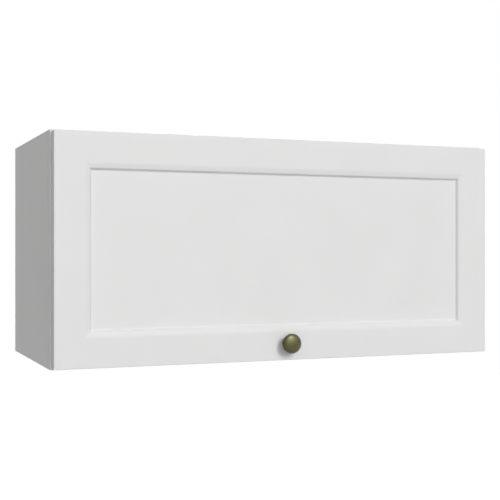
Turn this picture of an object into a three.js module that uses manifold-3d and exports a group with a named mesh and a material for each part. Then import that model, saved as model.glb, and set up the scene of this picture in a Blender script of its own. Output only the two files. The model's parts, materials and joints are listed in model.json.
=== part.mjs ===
// Lift-up wall cabinet: a flat-pack carcass, one top-hung door on two concealed cup hinges,
// two gas struts, and two adjustable hangers that carry it on a wall rail.
// Millimetres. X runs along the width, -Y is the front, +Z is up.
// The pieces are drawn from the carcass front edge (y = 0); the outer group moves the origin
// to the centre of the underside of the closed cabinet.

import * as THREE from 'three';
import { mergeVertices } from 'three/addons/utils/BufferGeometryUtils.js';
import Module from 'manifold-3d';

const wasm = await Module();
wasm.setup();

// ---------------------------------------------------------------- driving dimensions

// carcass
const CABINET_WIDTH = 760;
const CABINET_HEIGHT = 360;
const CABINET_DEPTH = 320;
const PANEL_THICKNESS = 16;
const BACK_THICKNESS = 3;
const BACK_SETBACK = 18;
const BACK_GROOVE_DEPTH = 8;
const SEAT_GAP = 0.3;

// cam fittings
const CAM_RADIUS = 7.5;
const CAM_HEIGHT = 12.5;
const CAM_FROM_EDGE = 24;
const CAM_FRONT_SETBACK = 50;
const CAM_REAR_SETBACK = 58;
const CAM_BOLT_RADIUS = 3;
const CAM_BOLT_THREAD_RADIUS = 2.4;
const CAM_BOLT_THREAD_LENGTH = 10.5;
const CAM_BOLT_HEAD_LENGTH = 3;

// door
const DOOR_THICKNESS = 18;
const DOOR_GAP = 2;
const DOOR_SIDE_INSET = 2;
const DOOR_TOP_INSET = 3;
const DOOR_BOTTOM_INSET = 2;
const DOOR_EDGE_RADIUS = 1.5;
const FRAME_WIDTH = 46.8;
const SLOPE_WIDTH = 6;
const SLOPE_DEPTH = 1.7;
const ROLL_WIDTH = 3.2;
const FIELD_RECESS = 7;

// knob
const KNOB_RADIUS = 16;
const KNOB_PROJECTION = 25;
const KNOB_FOOT_RADIUS = 10.3;
const KNOB_NECK_RADIUS = 5.4;
const KNOB_RIM_HEIGHT = 15;
const KNOB_ABOVE_DOOR_BOTTOM = 27.7;
const KNOB_SCREW_RADIUS = 2;
const KNOB_SCREW_GRIP = 9;

// bumpers
const BUMPER_RADIUS = 4;
const BUMPER_HEIGHT = 1.7;
const BUMPER_FROM_BOTTOM = 10;

// axis that the door turns about
const PIVOT_INTO_DOOR = 8;
const PIVOT_BELOW_DOOR_TOP = 5.5;
const DOOR_OPEN_DEGREES = 90;

// cup hinges
const HINGE_FROM_SIDE = 100;
const CUP_RADIUS = 17.3;
const CUP_BORE_CLEARANCE = 0.2;
const CUP_FROM_DOOR_EDGE = 3;
const CUP_DEPTH = 11.7;
const CUP_WALL = 1;
const FLANGE_THICKNESS = 1.2;
const FLANGE_RADIUS = 19;
const FLANGE_EAR_SPACING = 48;
const FLANGE_EAR_RADIUS = 6.5;
const FLANGE_EAR_OFFSET = 5.5;
const HINGE_SCREW_HOLE_RADIUS = 2.2;
const OUTER_PIN_RADIUS = 9;
const OUTER_PIN_DEGREES = -45;
const OUTER_ARM_PIN_RADIUS = 24;
const INNER_PIN_RADIUS = 5.5;
const INNER_PIN_DEGREES = -22;
const INNER_ARM_PIN_RADIUS = 19.5;
const HINGE_PIN_RADIUS = 1.2;
const HINGE_PIN_CLEARANCE = 0.3;
const LINK_GAP = 0.4;
const OUTER_LINK_HALF_WIDTH = 6;
const OUTER_LINK_SHEET = 1;
const OUTER_LINK_EYE = 2.4;
const INNER_LINK_HALF_WIDTH = 2.8;
const INNER_LINK_EYE = 1.6;
const ARM_SHEET = 1.4;
const ARM_EYE = 2.4;
const ARM_DROP = 11.4;
const ARM_TOP_CLEARANCE = 2.5;
const ARM_BACK = 72;
const PLATE_THICKNESS = 2;
const PLATE_FRONT = 20;
const PLATE_BACK = 68;
const PLATE_SCREW_SETBACK = 37;
const PLATE_SCREW_SPACING = 32;
const PLATE_WING_WIDTH = 14;
const ARM_SCREW_RADIUS = 1.9;
const ARM_SCREW_HEAD_RADIUS = 3.4;
const ARM_SCREW_HEAD_HEIGHT = 1.8;
const ADJUST_SCREW_SETBACK = 27;
const FIXING_SCREW_SETBACK = 58;

// gas struts
const STRUT_FROM_SIDE = 20;
const SIDE_BALL_SETBACK = 37;
const SIDE_BALL_BELOW_TOP = 253;
const DOOR_BALL_STANDOFF = 24;
const DOOR_BALL_BELOW_DOOR_TOP = 70;
const BALL_RADIUS = 5;
const BALL_STUD_RADIUS = 3;
const SOCKET_RADIUS = 7;
const SOCKET_HALF_WIDTH = 7.8;
const SOCKET_SHANK_RADIUS = 5;
const SOCKET_LENGTH = 14;
const TUBE_RADIUS = 7.5;
const TUBE_WALL = 1.3;
const TUBE_END_WALL = 5;
const TUBE_NECK_LENGTH = 8;
const ROD_RADIUS = 3;
const ROD_CLEARANCE = 0.3;
const ROD_SHOWING_WHEN_CLOSED = 10;
const PISTON_LENGTH = 6;
const PISTON_END_CLEARANCE = 3;
const BRACKET_SHEET = 2.5;
const BRACKET_LENGTH = 44;
const BRACKET_WIDTH = 17;
const BRACKET_CORNER = 3;
const BRACKET_SCREW_SPACING = 32;
const BRACKET_HOLE_RADIUS = 2.1;
const EAR_RADIUS = 6.5;
const DOOR_STUD_LENGTH = 5.5;

// wall hangers
const HANGER_WIDTH = 18;
const HANGER_LENGTH = 60;
const HANGER_HEIGHT = 60;
const HANGER_BELOW_TOP = 2;
const HANGER_DOWEL_RADIUS = 5;
const HANGER_DOWEL_LENGTH = 11;
const HANGER_DOWEL_SPACING = 32;
const HOOK_SHEET = 2.5;
const HOOK_BAR_HEIGHT = 16;
const HOOK_BAR_LENGTH = 66;
const HOOK_LIP_DROP = 12;
const HOOK_LIP_THICKNESS = 4;
const HOOK_WALL_CLEARANCE = 1;
const HOOK_FROM_HOUSING_TOP = 12;
const HANGER_SCREW_RADIUS = 3;
const HANGER_SCREW_LENGTH = 26;
const HANGER_SCREW_SPACING = 20;
const HANGER_SCREW_PROUD = 2;
const NOTCH_MARGIN = 3;

// ---------------------------------------------------------------- finishes

const finish = (color, roughness, metalness) =>
  new THREE.MeshStandardMaterial({ color, roughness, metalness, flatShading: true });

const DOOR_FOIL = finish(0xe8e8e5, 0.55, 0);
const CARCASS_LAMINATE = finish(0xe4e4e2, 0.6, 0);
const BACK_BOARD = finish(0xe0dfda, 0.75, 0);
const ANTIQUE_BRASS = finish(0x736a48, 0.42, 0.9);
const NICKEL_STEEL = finish(0xb9babb, 0.3, 1);
const ZINC = finish(0xa9acaf, 0.45, 1);
const PAINTED_TUBE = finish(0xb4b6b8, 0.4, 0.2);
const CHROME_ROD = finish(0xd4d6d8, 0.12, 1);
const GREY_NYLON = finish(0x8c8f92, 0.6, 0);
const WHITE_PLASTIC = finish(0xdededc, 0.5, 0);
const CLEAR_RUBBER = finish(0xd5d7d6, 0.5, 0);

// ---------------------------------------------------------------- solids

const ROUND = 16;
const FINE_ROUND = 28;
const SMALL_ROUND = 10;
const ARC_STEPS = 4;
const ROLL_STEPS = 6;

// Joins the corners that faces share, so that a geometry becomes one closed solid.
function toSolid(geometry) {
  const bare = geometry.clone();
  bare.deleteAttribute('normal');
  bare.deleteAttribute('uv');
  const merged = mergeVertices(bare, 1e-4);
  const corners = merged.index.array;
  const triangles = [];
  for (let i = 0; i < corners.length; i += 3) {
    const [a, b, c] = [corners[i], corners[i + 1], corners[i + 2]];
    if (a !== b && b !== c && c !== a) triangles.push(a, b, c);
  }
  return new wasm.Manifold(new wasm.Mesh({
    numProp: 3,
    vertProperties: new Float32Array(merged.attributes.position.array),
    triVerts: new Uint32Array(triangles),
  }));
}

function toGeometry(solid) {
  const mesh = solid.getMesh();
  const geometry = new THREE.BufferGeometry();
  geometry.setAttribute('position', new THREE.BufferAttribute(new Float32Array(mesh.vertProperties), 3));
  geometry.setIndex(new THREE.BufferAttribute(new Uint32Array(mesh.triVerts), 1));
  geometry.computeVertexNormals();
  return geometry;
}

// The same geometry seen in a mirror across the cabinet's middle plane.
function mirrored(geometry) {
  const copy = geometry.clone();
  copy.scale(-1, 1, 1);
  const index = copy.index.array;
  for (let i = 0; i < index.length; i += 3) {
    [index[i + 1], index[i + 2]] = [index[i + 2], index[i + 1]];
  }
  copy.computeVertexNormals();
  return copy;
}

const join = (...solids) => solids.reduce((whole, next) => whole.add(next));
const cut = (body, ...tools) => tools.reduce((whole, tool) => whole.subtract(tool), body);

// A block from its low and high limits on each axis.
function block([x0, x1], [y0, y1], [z0, z1]) {
  const geometry = new THREE.BoxGeometry(x1 - x0, y1 - y0, z1 - z0);
  geometry.translate((x0 + x1) / 2, (y0 + y1) / 2, (z0 + z1) / 2);
  return toSolid(geometry);
}

// A solid of revolution; the profile is a list of [radius, distance along the axis].
function turned(profile, axis, [x, y, z], segments = ROUND) {
  const geometry = new THREE.LatheGeometry(profile.map(([r, t]) => new THREE.Vector2(r, t)), segments);
  if (axis === '+z') geometry.rotateX(Math.PI / 2);
  if (axis === '-z') geometry.rotateX(-Math.PI / 2);
  if (axis === '-y') geometry.rotateX(Math.PI);
  if (axis === '+x') geometry.rotateZ(-Math.PI / 2);
  if (axis === '-x') geometry.rotateZ(Math.PI / 2);
  geometry.translate(x, y, z);
  return toSolid(geometry);
}

const shaft = (radius, length, axis, at, segments = ROUND) =>
  turned([[0, 0], [radius, 0], [radius, length], [0, length]], axis, at, segments);

// An outline drawn in a plane and given thickness between two positions on the third axis.
function extruded(shape, depth) {
  return new THREE.ExtrudeGeometry(shape, { depth, bevelEnabled: false, curveSegments: ARC_STEPS });
}

function sideways(shape, [x0, x1]) {
  const geometry = extruded(shape, x1 - x0);
  const along = new THREE.Matrix4().makeBasis(
    new THREE.Vector3(0, 1, 0), new THREE.Vector3(0, 0, 1), new THREE.Vector3(1, 0, 0));
  geometry.applyMatrix4(along);
  geometry.translate(x0, 0, 0);
  return toSolid(geometry);
}

function frontal(shape, [y0, y1]) {
  const geometry = extruded(shape, y1 - y0);
  geometry.rotateX(Math.PI / 2);
  geometry.translate(0, y1, 0);
  return toSolid(geometry);
}

function level(shape, [z0, z1]) {
  const geometry = extruded(shape, z1 - z0);
  geometry.translate(0, 0, z0);
  return toSolid(geometry);
}

// A rectangle with round corners, centred on (u, v).
function roundedRectangle(u, v, width, height, radius) {
  const [left, right, low, high] = [u - width / 2, u + width / 2, v - height / 2, v + height / 2];
  const shape = new THREE.Shape();
  shape.moveTo(left + radius, low);
  shape.lineTo(right - radius, low);
  shape.absarc(right - radius, low + radius, radius, -Math.PI / 2, 0);
  shape.lineTo(right, high - radius);
  shape.absarc(right - radius, high - radius, radius, 0, Math.PI / 2);
  shape.lineTo(left + radius, high);
  shape.absarc(left + radius, high - radius, radius, Math.PI / 2, Math.PI);
  shape.lineTo(left, low + radius);
  shape.absarc(left + radius, low + radius, radius, Math.PI, Math.PI * 1.5);
  return shape;
}

// The outline of a strap with a round end about each of two points.
function strap(from, to, radius) {
  const along = Math.atan2(to.y - from.y, to.x - from.x);
  const shape = new THREE.Shape();
  shape.absarc(to.x, to.y, radius, along - Math.PI / 2, along + Math.PI / 2);
  shape.absarc(from.x, from.y, radius, along + Math.PI / 2, along + Math.PI * 1.5);
  return shape;
}

// ---------------------------------------------------------------- places worked out from the sizes

const halfWidth = CABINET_WIDTH / 2;
const sideInner = halfWidth - PANEL_THICKNESS;
const topUnderside = CABINET_HEIGHT - PANEL_THICKNESS;
const backRear = CABINET_DEPTH - BACK_SETBACK;
const backFront = backRear - BACK_THICKNESS;

const doorInner = -DOOR_GAP;
const doorFront = doorInner - DOOR_THICKNESS;
const doorTop = CABINET_HEIGHT - DOOR_TOP_INSET;
const doorBottom = DOOR_BOTTOM_INSET;
const doorHalfWidth = halfWidth - DOOR_SIDE_INSET;
const knobHeight = doorBottom + KNOB_ABOVE_DOOR_BOTTOM;

// Points of the mechanisms are (y, z) pairs, held as Vector2.
const degrees = Math.PI / 180;
const pivot = new THREE.Vector2(doorInner - PIVOT_INTO_DOOR, doorTop - PIVOT_BELOW_DOOR_TOP);
const opened = (point) => point.clone().rotateAround(pivot, -DOOR_OPEN_DEGREES * degrees);
const fromPivot = (radius, angle) => new THREE.Vector2(
  pivot.x + radius * Math.cos(angle * degrees), pivot.y + radius * Math.sin(angle * degrees));

// An arm pin lies on the line that halves its cup pin's travel, so the link between them has
// the same length with the door closed and with it open.
const outerCupPin = fromPivot(OUTER_PIN_RADIUS, OUTER_PIN_DEGREES);
const outerArmPin = fromPivot(OUTER_ARM_PIN_RADIUS, OUTER_PIN_DEGREES - DOOR_OPEN_DEGREES / 2);
const innerCupPin = fromPivot(INNER_PIN_RADIUS, INNER_PIN_DEGREES);
const innerArmPin = fromPivot(INNER_ARM_PIN_RADIUS, INNER_PIN_DEGREES - DOOR_OPEN_DEGREES / 2);

const sideBall = new THREE.Vector2(SIDE_BALL_SETBACK, CABINET_HEIGHT - SIDE_BALL_BELOW_TOP);
const doorBall = new THREE.Vector2(doorInner + DOOR_BALL_STANDOFF, doorTop - DOOR_BALL_BELOW_DOOR_TOP);
const strutClosedLength = sideBall.distanceTo(doorBall);
const strutStroke = sideBall.distanceTo(opened(doorBall)) - strutClosedLength;
const strutLean = Math.atan2(sideBall.x - doorBall.x, doorBall.y - sideBall.y);

// ---------------------------------------------------------------- carcass

const camDistance = sideInner - CAM_FROM_EDGE;
const camSetbacks = { front: CAM_FRONT_SETBACK, rear: CABINET_DEPTH - CAM_REAR_SETBACK };
const boltHeight = { top: CABINET_HEIGHT - PANEL_THICKNESS / 2, bottom: PANEL_THICKNESS / 2 };
// The cams are let into the top of the top panel and, inside the cabinet, the top of the bottom panel.
const camFace = { top: CABINET_HEIGHT, bottom: PANEL_THICKNESS };

const hangerTop = topUnderside - HANGER_BELOW_TOP;
const hangerRear = backFront - SEAT_GAP;
const hangerDowels = [-1, 1].map((end) =>
  hangerRear - HANGER_LENGTH / 2 + end * HANGER_DOWEL_SPACING / 2);
const hangerDowelHeight = hangerTop - HANGER_HEIGHT / 3;

const groove = (xRange, zRange) =>
  block(xRange, [backFront - SEAT_GAP, backRear + SEAT_GAP], zRange);

// The left side panel: grooved for the back, drilled for the cam bolts and the hanger's dowels.
function sidePanel() {
  const panel = block([-halfWidth, -sideInner], [0, CABINET_DEPTH], [0, CABINET_HEIGHT]);
  const holes = [groove([-sideInner - BACK_GROOVE_DEPTH, -sideInner + 1], [-1, CABINET_HEIGHT + 1])];
  for (const z of Object.values(boltHeight)) {
    for (const y of Object.values(camSetbacks)) {
      const depth = CAM_BOLT_THREAD_LENGTH + SEAT_GAP;
      holes.push(shaft(CAM_BOLT_THREAD_RADIUS + 0.1, depth + 1, '+x',
        [-sideInner - depth, y, z], SMALL_ROUND));
    }
  }
  for (const y of hangerDowels) {
    const depth = HANGER_DOWEL_LENGTH + SEAT_GAP;
    holes.push(shaft(HANGER_DOWEL_RADIUS + 0.1, depth + 1, '+x',
      [-sideInner - depth, y, hangerDowelHeight], ROUND));
  }
  return cut(panel, ...holes);
}

// The top or bottom panel, with a cam pocket and a bolt hole at each corner.
function levelPanel(place) {
  const low = place === 'top' ? topUnderside : 0;
  const panel = block([-sideInner, sideInner], [0, CABINET_DEPTH], [low, low + PANEL_THICKNESS]);
  const inner = place === 'top' ? [low - 1, low + BACK_GROOVE_DEPTH]
    : [PANEL_THICKNESS - BACK_GROOVE_DEPTH, PANEL_THICKNESS + 1];
  const holes = [groove([-sideInner - 1, sideInner + 1], inner)];
  for (const side of [-1, 1]) {
    for (const y of Object.values(camSetbacks)) {
      const pocketDepth = CAM_HEIGHT + SEAT_GAP;
      holes.push(shaft(CAM_RADIUS, pocketDepth + 1, '+z',
        [side * camDistance, y, camFace[place] - pocketDepth], ROUND));
      holes.push(shaft(CAM_BOLT_RADIUS + 0.5, CAM_FROM_EDGE + 1, side > 0 ? '+x' : '-x',
        [side * camDistance, y, boltHeight[place]], SMALL_ROUND));
    }
  }
  return cut(panel, ...holes);
}

// The back board, with its two top corners cut away for the hanger hooks.
function backPanel() {
  const reach = BACK_GROOVE_DEPTH - SEAT_GAP;
  const halfBoard = sideInner + reach;
  const top = topUnderside + reach;
  const bottom = PANEL_THICKNESS - reach;
  const notchSide = sideInner - HANGER_WIDTH - NOTCH_MARGIN;
  const notchBottom = hangerTop - HOOK_FROM_HOUSING_TOP - HOOK_BAR_HEIGHT - HOOK_LIP_DROP - NOTCH_MARGIN;
  const outline = new THREE.Shape();
  outline.moveTo(-halfBoard, bottom);
  outline.lineTo(halfBoard, bottom);
  outline.lineTo(halfBoard, notchBottom);
  outline.lineTo(notchSide, notchBottom);
  outline.lineTo(notchSide, top);
  outline.lineTo(-notchSide, top);
  outline.lineTo(-notchSide, notchBottom);
  outline.lineTo(-halfBoard, notchBottom);
  return frontal(outline, [backFront, backRear]);
}

// A cam disc about the origin, its top face at z = 0, open towards -x for the bolt's head.
function cam() {
  const radius = CAM_RADIUS - 0.2;
  const disc = shaft(radius, CAM_HEIGHT, '-z', [0, 0, 0], ROUND);
  const boltDrop = PANEL_THICKNESS / 2;
  const channel = CAM_BOLT_RADIUS + 0.5;
  const mouth = block([-CAM_RADIUS, CAM_BOLT_HEAD_LENGTH], [-channel, channel],
    [-boltDrop - channel, -boltDrop + channel]);
  const slots = [[CAM_RADIUS / 2, 0.6], [0.6, CAM_RADIUS / 2]].map(([u, v]) =>
    block([-u, u], [-v, v], [-1.6, 1]));
  return cut(disc, mouth, ...slots);
}

// A cam bolt along +x from the end of its thread at x = 0: thread, collar, shank, neck and head.
function camBolt() {
  const shankEnd = CAM_BOLT_THREAD_LENGTH + CAM_FROM_EDGE - CAM_RADIUS - 1;
  const headEnd = CAM_BOLT_THREAD_LENGTH + CAM_FROM_EDGE + CAM_BOLT_HEAD_LENGTH / 2;
  const neck = CAM_BOLT_RADIUS * 0.55;
  return turned([
    [0, 0], [CAM_BOLT_THREAD_RADIUS - 1, 0], [CAM_BOLT_THREAD_RADIUS, 1.5],
    [CAM_BOLT_THREAD_RADIUS, CAM_BOLT_THREAD_LENGTH], [CAM_BOLT_RADIUS, CAM_BOLT_THREAD_LENGTH],
    [CAM_BOLT_RADIUS, shankEnd], [neck, shankEnd + 1], [neck, headEnd - CAM_BOLT_HEAD_LENGTH],
    [CAM_BOLT_RADIUS, headEnd - CAM_BOLT_HEAD_LENGTH + 1], [CAM_BOLT_RADIUS, headEnd - 0.6],
    [CAM_BOLT_RADIUS - 0.6, headEnd], [0, headEnd],
  ], '+x', [0, 0, 0], SMALL_ROUND);
}

// ---------------------------------------------------------------- wall hangers

const hookHeight = hangerTop - HOOK_FROM_HOUSING_TOP;
const hangerMiddle = -sideInner + HANGER_WIDTH / 2;
const hookRear = CABINET_DEPTH - HOOK_WALL_CLEARANCE;
const hangerFront = hangerRear - HANGER_LENGTH;
const hangerScrewHeights = [0, 1].map((row) =>
  hookHeight - HOOK_BAR_HEIGHT - HANGER_SCREW_RADIUS - 2 - row * HANGER_SCREW_SPACING);

// The housing: a moulded box on two dowels, slotted for the hook and drilled for its screws.
function hangerHousing() {
  const outline = roundedRectangle(hangerFront + HANGER_LENGTH / 2, hangerTop - HANGER_HEIGHT / 2,
    HANGER_LENGTH, HANGER_HEIGHT, 4);
  const box = sideways(outline, [-sideInner, -sideInner + HANGER_WIDTH]);
  const dowels = hangerDowels.map((y) =>
    shaft(HANGER_DOWEL_RADIUS, HANGER_DOWEL_LENGTH + 1, '-x', [-sideInner + 1, y, hangerDowelHeight], ROUND));
  const slotHalf = HOOK_SHEET / 2 + SEAT_GAP;
  const slot = block([hangerMiddle - slotHalf, hangerMiddle + slotHalf],
    [hookRear - HOOK_BAR_LENGTH - SEAT_GAP, hangerRear + 1],
    [hookHeight - HOOK_BAR_HEIGHT - SEAT_GAP, hookHeight + SEAT_GAP]);
  const screwHoles = hangerScrewHeights.map((z) =>
    shaft(HANGER_SCREW_RADIUS + SEAT_GAP, HANGER_SCREW_LENGTH + 1, '+y',
      [hangerMiddle, hangerFront - 1, z], ROUND));
  const pocket = block([hangerMiddle + 3.5, -sideInner + HANGER_WIDTH + 1],
    [hangerFront + 8, hangerRear - 8], [hangerTop - HANGER_HEIGHT + 6, hookHeight - HOOK_BAR_HEIGHT - 2]);
  return cut(join(box, ...dowels), slot, ...screwHoles, pocket);
}

// The hook: a flat steel bar whose rear end turns down behind the wall rail's edge.
function hangerHook() {
  const front = hookRear - HOOK_BAR_LENGTH;
  const under = hookHeight - HOOK_BAR_HEIGHT;
  const lipFront = hookRear - HOOK_LIP_THICKNESS;
  const outline = new THREE.Shape();
  outline.moveTo(front, under);
  outline.lineTo(lipFront - 2, under);
  outline.absarc(lipFront - 2, under - 2, 2, Math.PI / 2, 0, true);
  outline.lineTo(lipFront, under - HOOK_LIP_DROP);
  outline.lineTo(hookRear, under - HOOK_LIP_DROP);
  outline.lineTo(hookRear, hookHeight - 5);
  outline.absarc(hookRear - 5, hookHeight - 5, 5, 0, Math.PI / 2);
  outline.lineTo(front, hookHeight);
  return sideways(outline, [hangerMiddle - HOOK_SHEET / 2, hangerMiddle + HOOK_SHEET / 2]);
}

// An adjusting screw whose cross-slotted end shows at the front of the housing.
function hangerScrew(z) {
  const screw = shaft(HANGER_SCREW_RADIUS, HANGER_SCREW_LENGTH, '+y',
    [hangerMiddle, hangerFront - HANGER_SCREW_PROUD, z], SMALL_ROUND);
  const face = hangerFront - HANGER_SCREW_PROUD;
  const slots = [[2, 0.5], [0.5, 2]].map(([u, v]) =>
    block([hangerMiddle - u, hangerMiddle + u], [face - 1, face + 1.2], [z - v, z + v]));
  return cut(screw, ...slots);
}

// ---------------------------------------------------------------- door

const doorRect = (inset, y) => ({ inset, y });

// Rings of the door from its back edge, round the front arris, across the flat frame, down the
// moulding (a gentle slope and then a quarter-ellipse roll) to the recessed field.
function doorRings() {
  const rings = [doorRect(0, doorInner)];
  for (let step = 0; step <= 4; step += 1) {
    const turn = (step / 4) * (Math.PI / 2);
    rings.push(doorRect(DOOR_EDGE_RADIUS * (1 - Math.cos(turn)),
      doorFront + DOOR_EDGE_RADIUS * (1 - Math.sin(turn))));
  }
  rings.push(doorRect(FRAME_WIDTH, doorFront));
  const rollStart = FRAME_WIDTH + SLOPE_WIDTH;
  for (let step = 0; step <= ROLL_STEPS; step += 1) {
    const turn = (step / ROLL_STEPS) * (Math.PI / 2);
    rings.push(doorRect(rollStart + ROLL_WIDTH * Math.sin(turn),
      doorFront + SLOPE_DEPTH + (FIELD_RECESS - SLOPE_DEPTH) * (1 - Math.cos(turn))));
  }
  return rings;
}

// Carries a list of rectangular rings into one closed skin with mitred corners.
function ringLoft(rings) {
  const positions = [];
  for (const { inset, y } of rings) {
    const x = doorHalfWidth - inset;
    const [low, high] = [doorBottom + inset, doorTop - inset];
    positions.push(-x, y, low, x, y, low, x, y, high, -x, y, high);
  }
  const index = [0, 1, 2, 0, 2, 3];
  for (let ring = 0; ring < rings.length - 1; ring += 1) {
    for (let corner = 0; corner < 4; corner += 1) {
      const a = ring * 4 + corner;
      const b = ring * 4 + (corner + 1) % 4;
      index.push(a, a + 4, b, b, a + 4, b + 4);
    }
  }
  const last = (rings.length - 1) * 4;
  index.push(last, last + 2, last + 1, last, last + 3, last + 2);
  for (let i = 0; i < index.length; i += 3) {
    [index[i + 1], index[i + 2]] = [index[i + 2], index[i + 1]];
  }
  const geometry = new THREE.BufferGeometry();
  geometry.setAttribute('position', new THREE.Float32BufferAttribute(positions, 3));
  geometry.setIndex(index);
  return toSolid(geometry);
}

const cupCentre = doorTop - CUP_FROM_DOOR_EDGE - CUP_RADIUS - CUP_BORE_CLEARANCE;
const hingeDistance = halfWidth - HINGE_FROM_SIDE;

function door() {
  const holes = [-1, 1].map((side) => shaft(CUP_RADIUS + CUP_BORE_CLEARANCE, CUP_DEPTH + SEAT_GAP + 1, '-y',
    [side * hingeDistance, doorInner + 1, cupCentre], FINE_ROUND));
  holes.push(shaft(KNOB_SCREW_RADIUS + 0.5, DOOR_THICKNESS + 2, '+y',
    [0, doorFront - 1, knobHeight], SMALL_ROUND));
  return cut(ringLoft(doorRings()), ...holes);
}

// A knob on a round foot, its head half an ellipsoid, tapped from behind.
function knob() {
  const profile = [
    [0, 0], [KNOB_FOOT_RADIUS, 0], [KNOB_FOOT_RADIUS, 0.35], [KNOB_FOOT_RADIUS - 1.4, 0.95],
    [KNOB_NECK_RADIUS + 1.6, 1.9], [KNOB_NECK_RADIUS + 0.3, 3.6], [KNOB_NECK_RADIUS, 6],
    [KNOB_NECK_RADIUS + 1.4, 9.6], [KNOB_RADIUS * 0.65, 11.6], [KNOB_RADIUS * 0.9, KNOB_RIM_HEIGHT - 2.2],
    [KNOB_RADIUS, KNOB_RIM_HEIGHT - 0.9],
  ];
  for (let step = 0; step <= ROLL_STEPS; step += 1) {
    const turn = (step / ROLL_STEPS) * (Math.PI / 2);
    const radius = step === ROLL_STEPS ? 0 : KNOB_RADIUS * Math.cos(turn);
    profile.push([radius, KNOB_RIM_HEIGHT + (KNOB_PROJECTION - KNOB_RIM_HEIGHT) * Math.sin(turn)]);
  }
  const body = turned(profile, '-y', [0, doorFront, knobHeight], FINE_ROUND);
  const tapped = shaft(KNOB_SCREW_RADIUS + 0.1, KNOB_SCREW_GRIP + 2, '-y',
    [0, doorFront + 1, knobHeight], SMALL_ROUND);
  return cut(body, tapped);
}

function knobScrew() {
  const length = DOOR_THICKNESS + KNOB_SCREW_GRIP;
  const head = KNOB_SCREW_RADIUS * 2.1;
  const screw = turned([
    [0, -2.4], [head * 0.6, -2.4], [head, -1.2], [head, 0], [KNOB_SCREW_RADIUS, 0],
    [KNOB_SCREW_RADIUS, length - 0.6], [KNOB_SCREW_RADIUS - 0.6, length], [0, length],
  ], '-y', [0, doorInner, knobHeight], SMALL_ROUND);
  const slots = [[2.2, 0.5], [0.5, 2.2]].map(([u, v]) =>
    block([-u, u], [doorInner + 1.2, doorInner + 3], [knobHeight - v, knobHeight + v]));
  return cut(screw, ...slots);
}

function bumper() {
  return turned([
    [0, 0], [BUMPER_RADIUS, 0], [BUMPER_RADIUS, BUMPER_HEIGHT * 0.4],
    [BUMPER_RADIUS * 0.7, BUMPER_HEIGHT * 0.85], [BUMPER_RADIUS * 0.3, BUMPER_HEIGHT], [0, BUMPER_HEIGHT],
  ], '+y', [-(sideInner + halfWidth) / 2, doorInner, doorBottom + BUMPER_FROM_BOTTOM], SMALL_ROUND);
}

// ---------------------------------------------------------------- cup hinges, about x = 0

const armInnerHalf = OUTER_LINK_HALF_WIDTH + LINK_GAP - 0.1;
const armOuterHalf = armInnerHalf + ARM_SHEET;
const armBottom = topUnderside - ARM_DROP;
const armTop = topUnderside - ARM_TOP_CLEARANCE;
const hingePin = (half, at) =>
  shaft(HINGE_PIN_RADIUS, half * 2, '+x', [-half, at.x, at.y], SMALL_ROUND);
const hingeEye = (half, at) =>
  shaft(HINGE_PIN_RADIUS + HINGE_PIN_CLEARANCE, half * 2, '+x', [-half, at.x, at.y], SMALL_ROUND);

// The mounting plate: two screw wings and a raised block that the arm slides over.
function hingePlate() {
  const wingShape = roundedRectangle(0, PLATE_SCREW_SETBACK,
    PLATE_SCREW_SPACING + PLATE_WING_WIDTH, PLATE_WING_WIDTH, PLATE_WING_WIDTH / 2 - 0.5);
  const wings = level(wingShape, [topUnderside - PLATE_THICKNESS, topUnderside]);
  const half = armInnerHalf - SEAT_GAP;
  const ridge = block([-half, half], [PLATE_FRONT, PLATE_BACK],
    [armBottom + ARM_SHEET + 0.2 + SEAT_GAP, topUnderside]);
  const holes = [-1, 1].map((side) => shaft(HINGE_SCREW_HOLE_RADIUS, PLATE_THICKNESS + 2, '+z',
    [side * PLATE_SCREW_SPACING / 2, PLATE_SCREW_SETBACK, topUnderside - PLATE_THICKNESS - 1], SMALL_ROUND));
  const bores = [ADJUST_SCREW_SETBACK, FIXING_SCREW_SETBACK].map((y) =>
    shaft(ARM_SCREW_RADIUS + 0.2, ARM_DROP + 1, '+z', [0, y, armBottom - 1], SMALL_ROUND));
  return cut(join(wings, ridge), ...holes, ...bores);
}

// The arm: a folded channel whose two cheeks carry the pins of both links.
function hingeArm() {
  const outline = new THREE.Shape();
  outline.moveTo(ARM_BACK, armBottom);
  outline.lineTo(innerArmPin.x + 12, armBottom);
  outline.absarc(outerArmPin.x, outerArmPin.y, ARM_EYE, -80 * degrees, 130 * degrees, true);
  outline.absarc(innerArmPin.x, innerArmPin.y, ARM_EYE, 130 * degrees, 105 * degrees, true);
  outline.lineTo(innerArmPin.x + 12, armTop);
  outline.lineTo(ARM_BACK, armTop);
  const cheeks = [[-armOuterHalf, -armInnerHalf], [armInnerHalf, armOuterHalf]].map((range) =>
    sideways(outline, range));
  const web = block([-armOuterHalf, armOuterHalf], [innerArmPin.x + 12, ARM_BACK],
    [armBottom, armBottom + ARM_SHEET + 0.2]);
  const pins = [outerArmPin, innerArmPin].map((at) => hingePin(armInnerHalf + ARM_SHEET / 2, at));
  const holes = [ADJUST_SCREW_SETBACK, FIXING_SCREW_SETBACK].map((y) =>
    shaft(ARM_SCREW_RADIUS + 0.4, ARM_SHEET + 3, '+z', [0, y, armBottom - 1], SMALL_ROUND));
  return cut(join(...cheeks, web, ...pins), ...holes);
}

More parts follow.
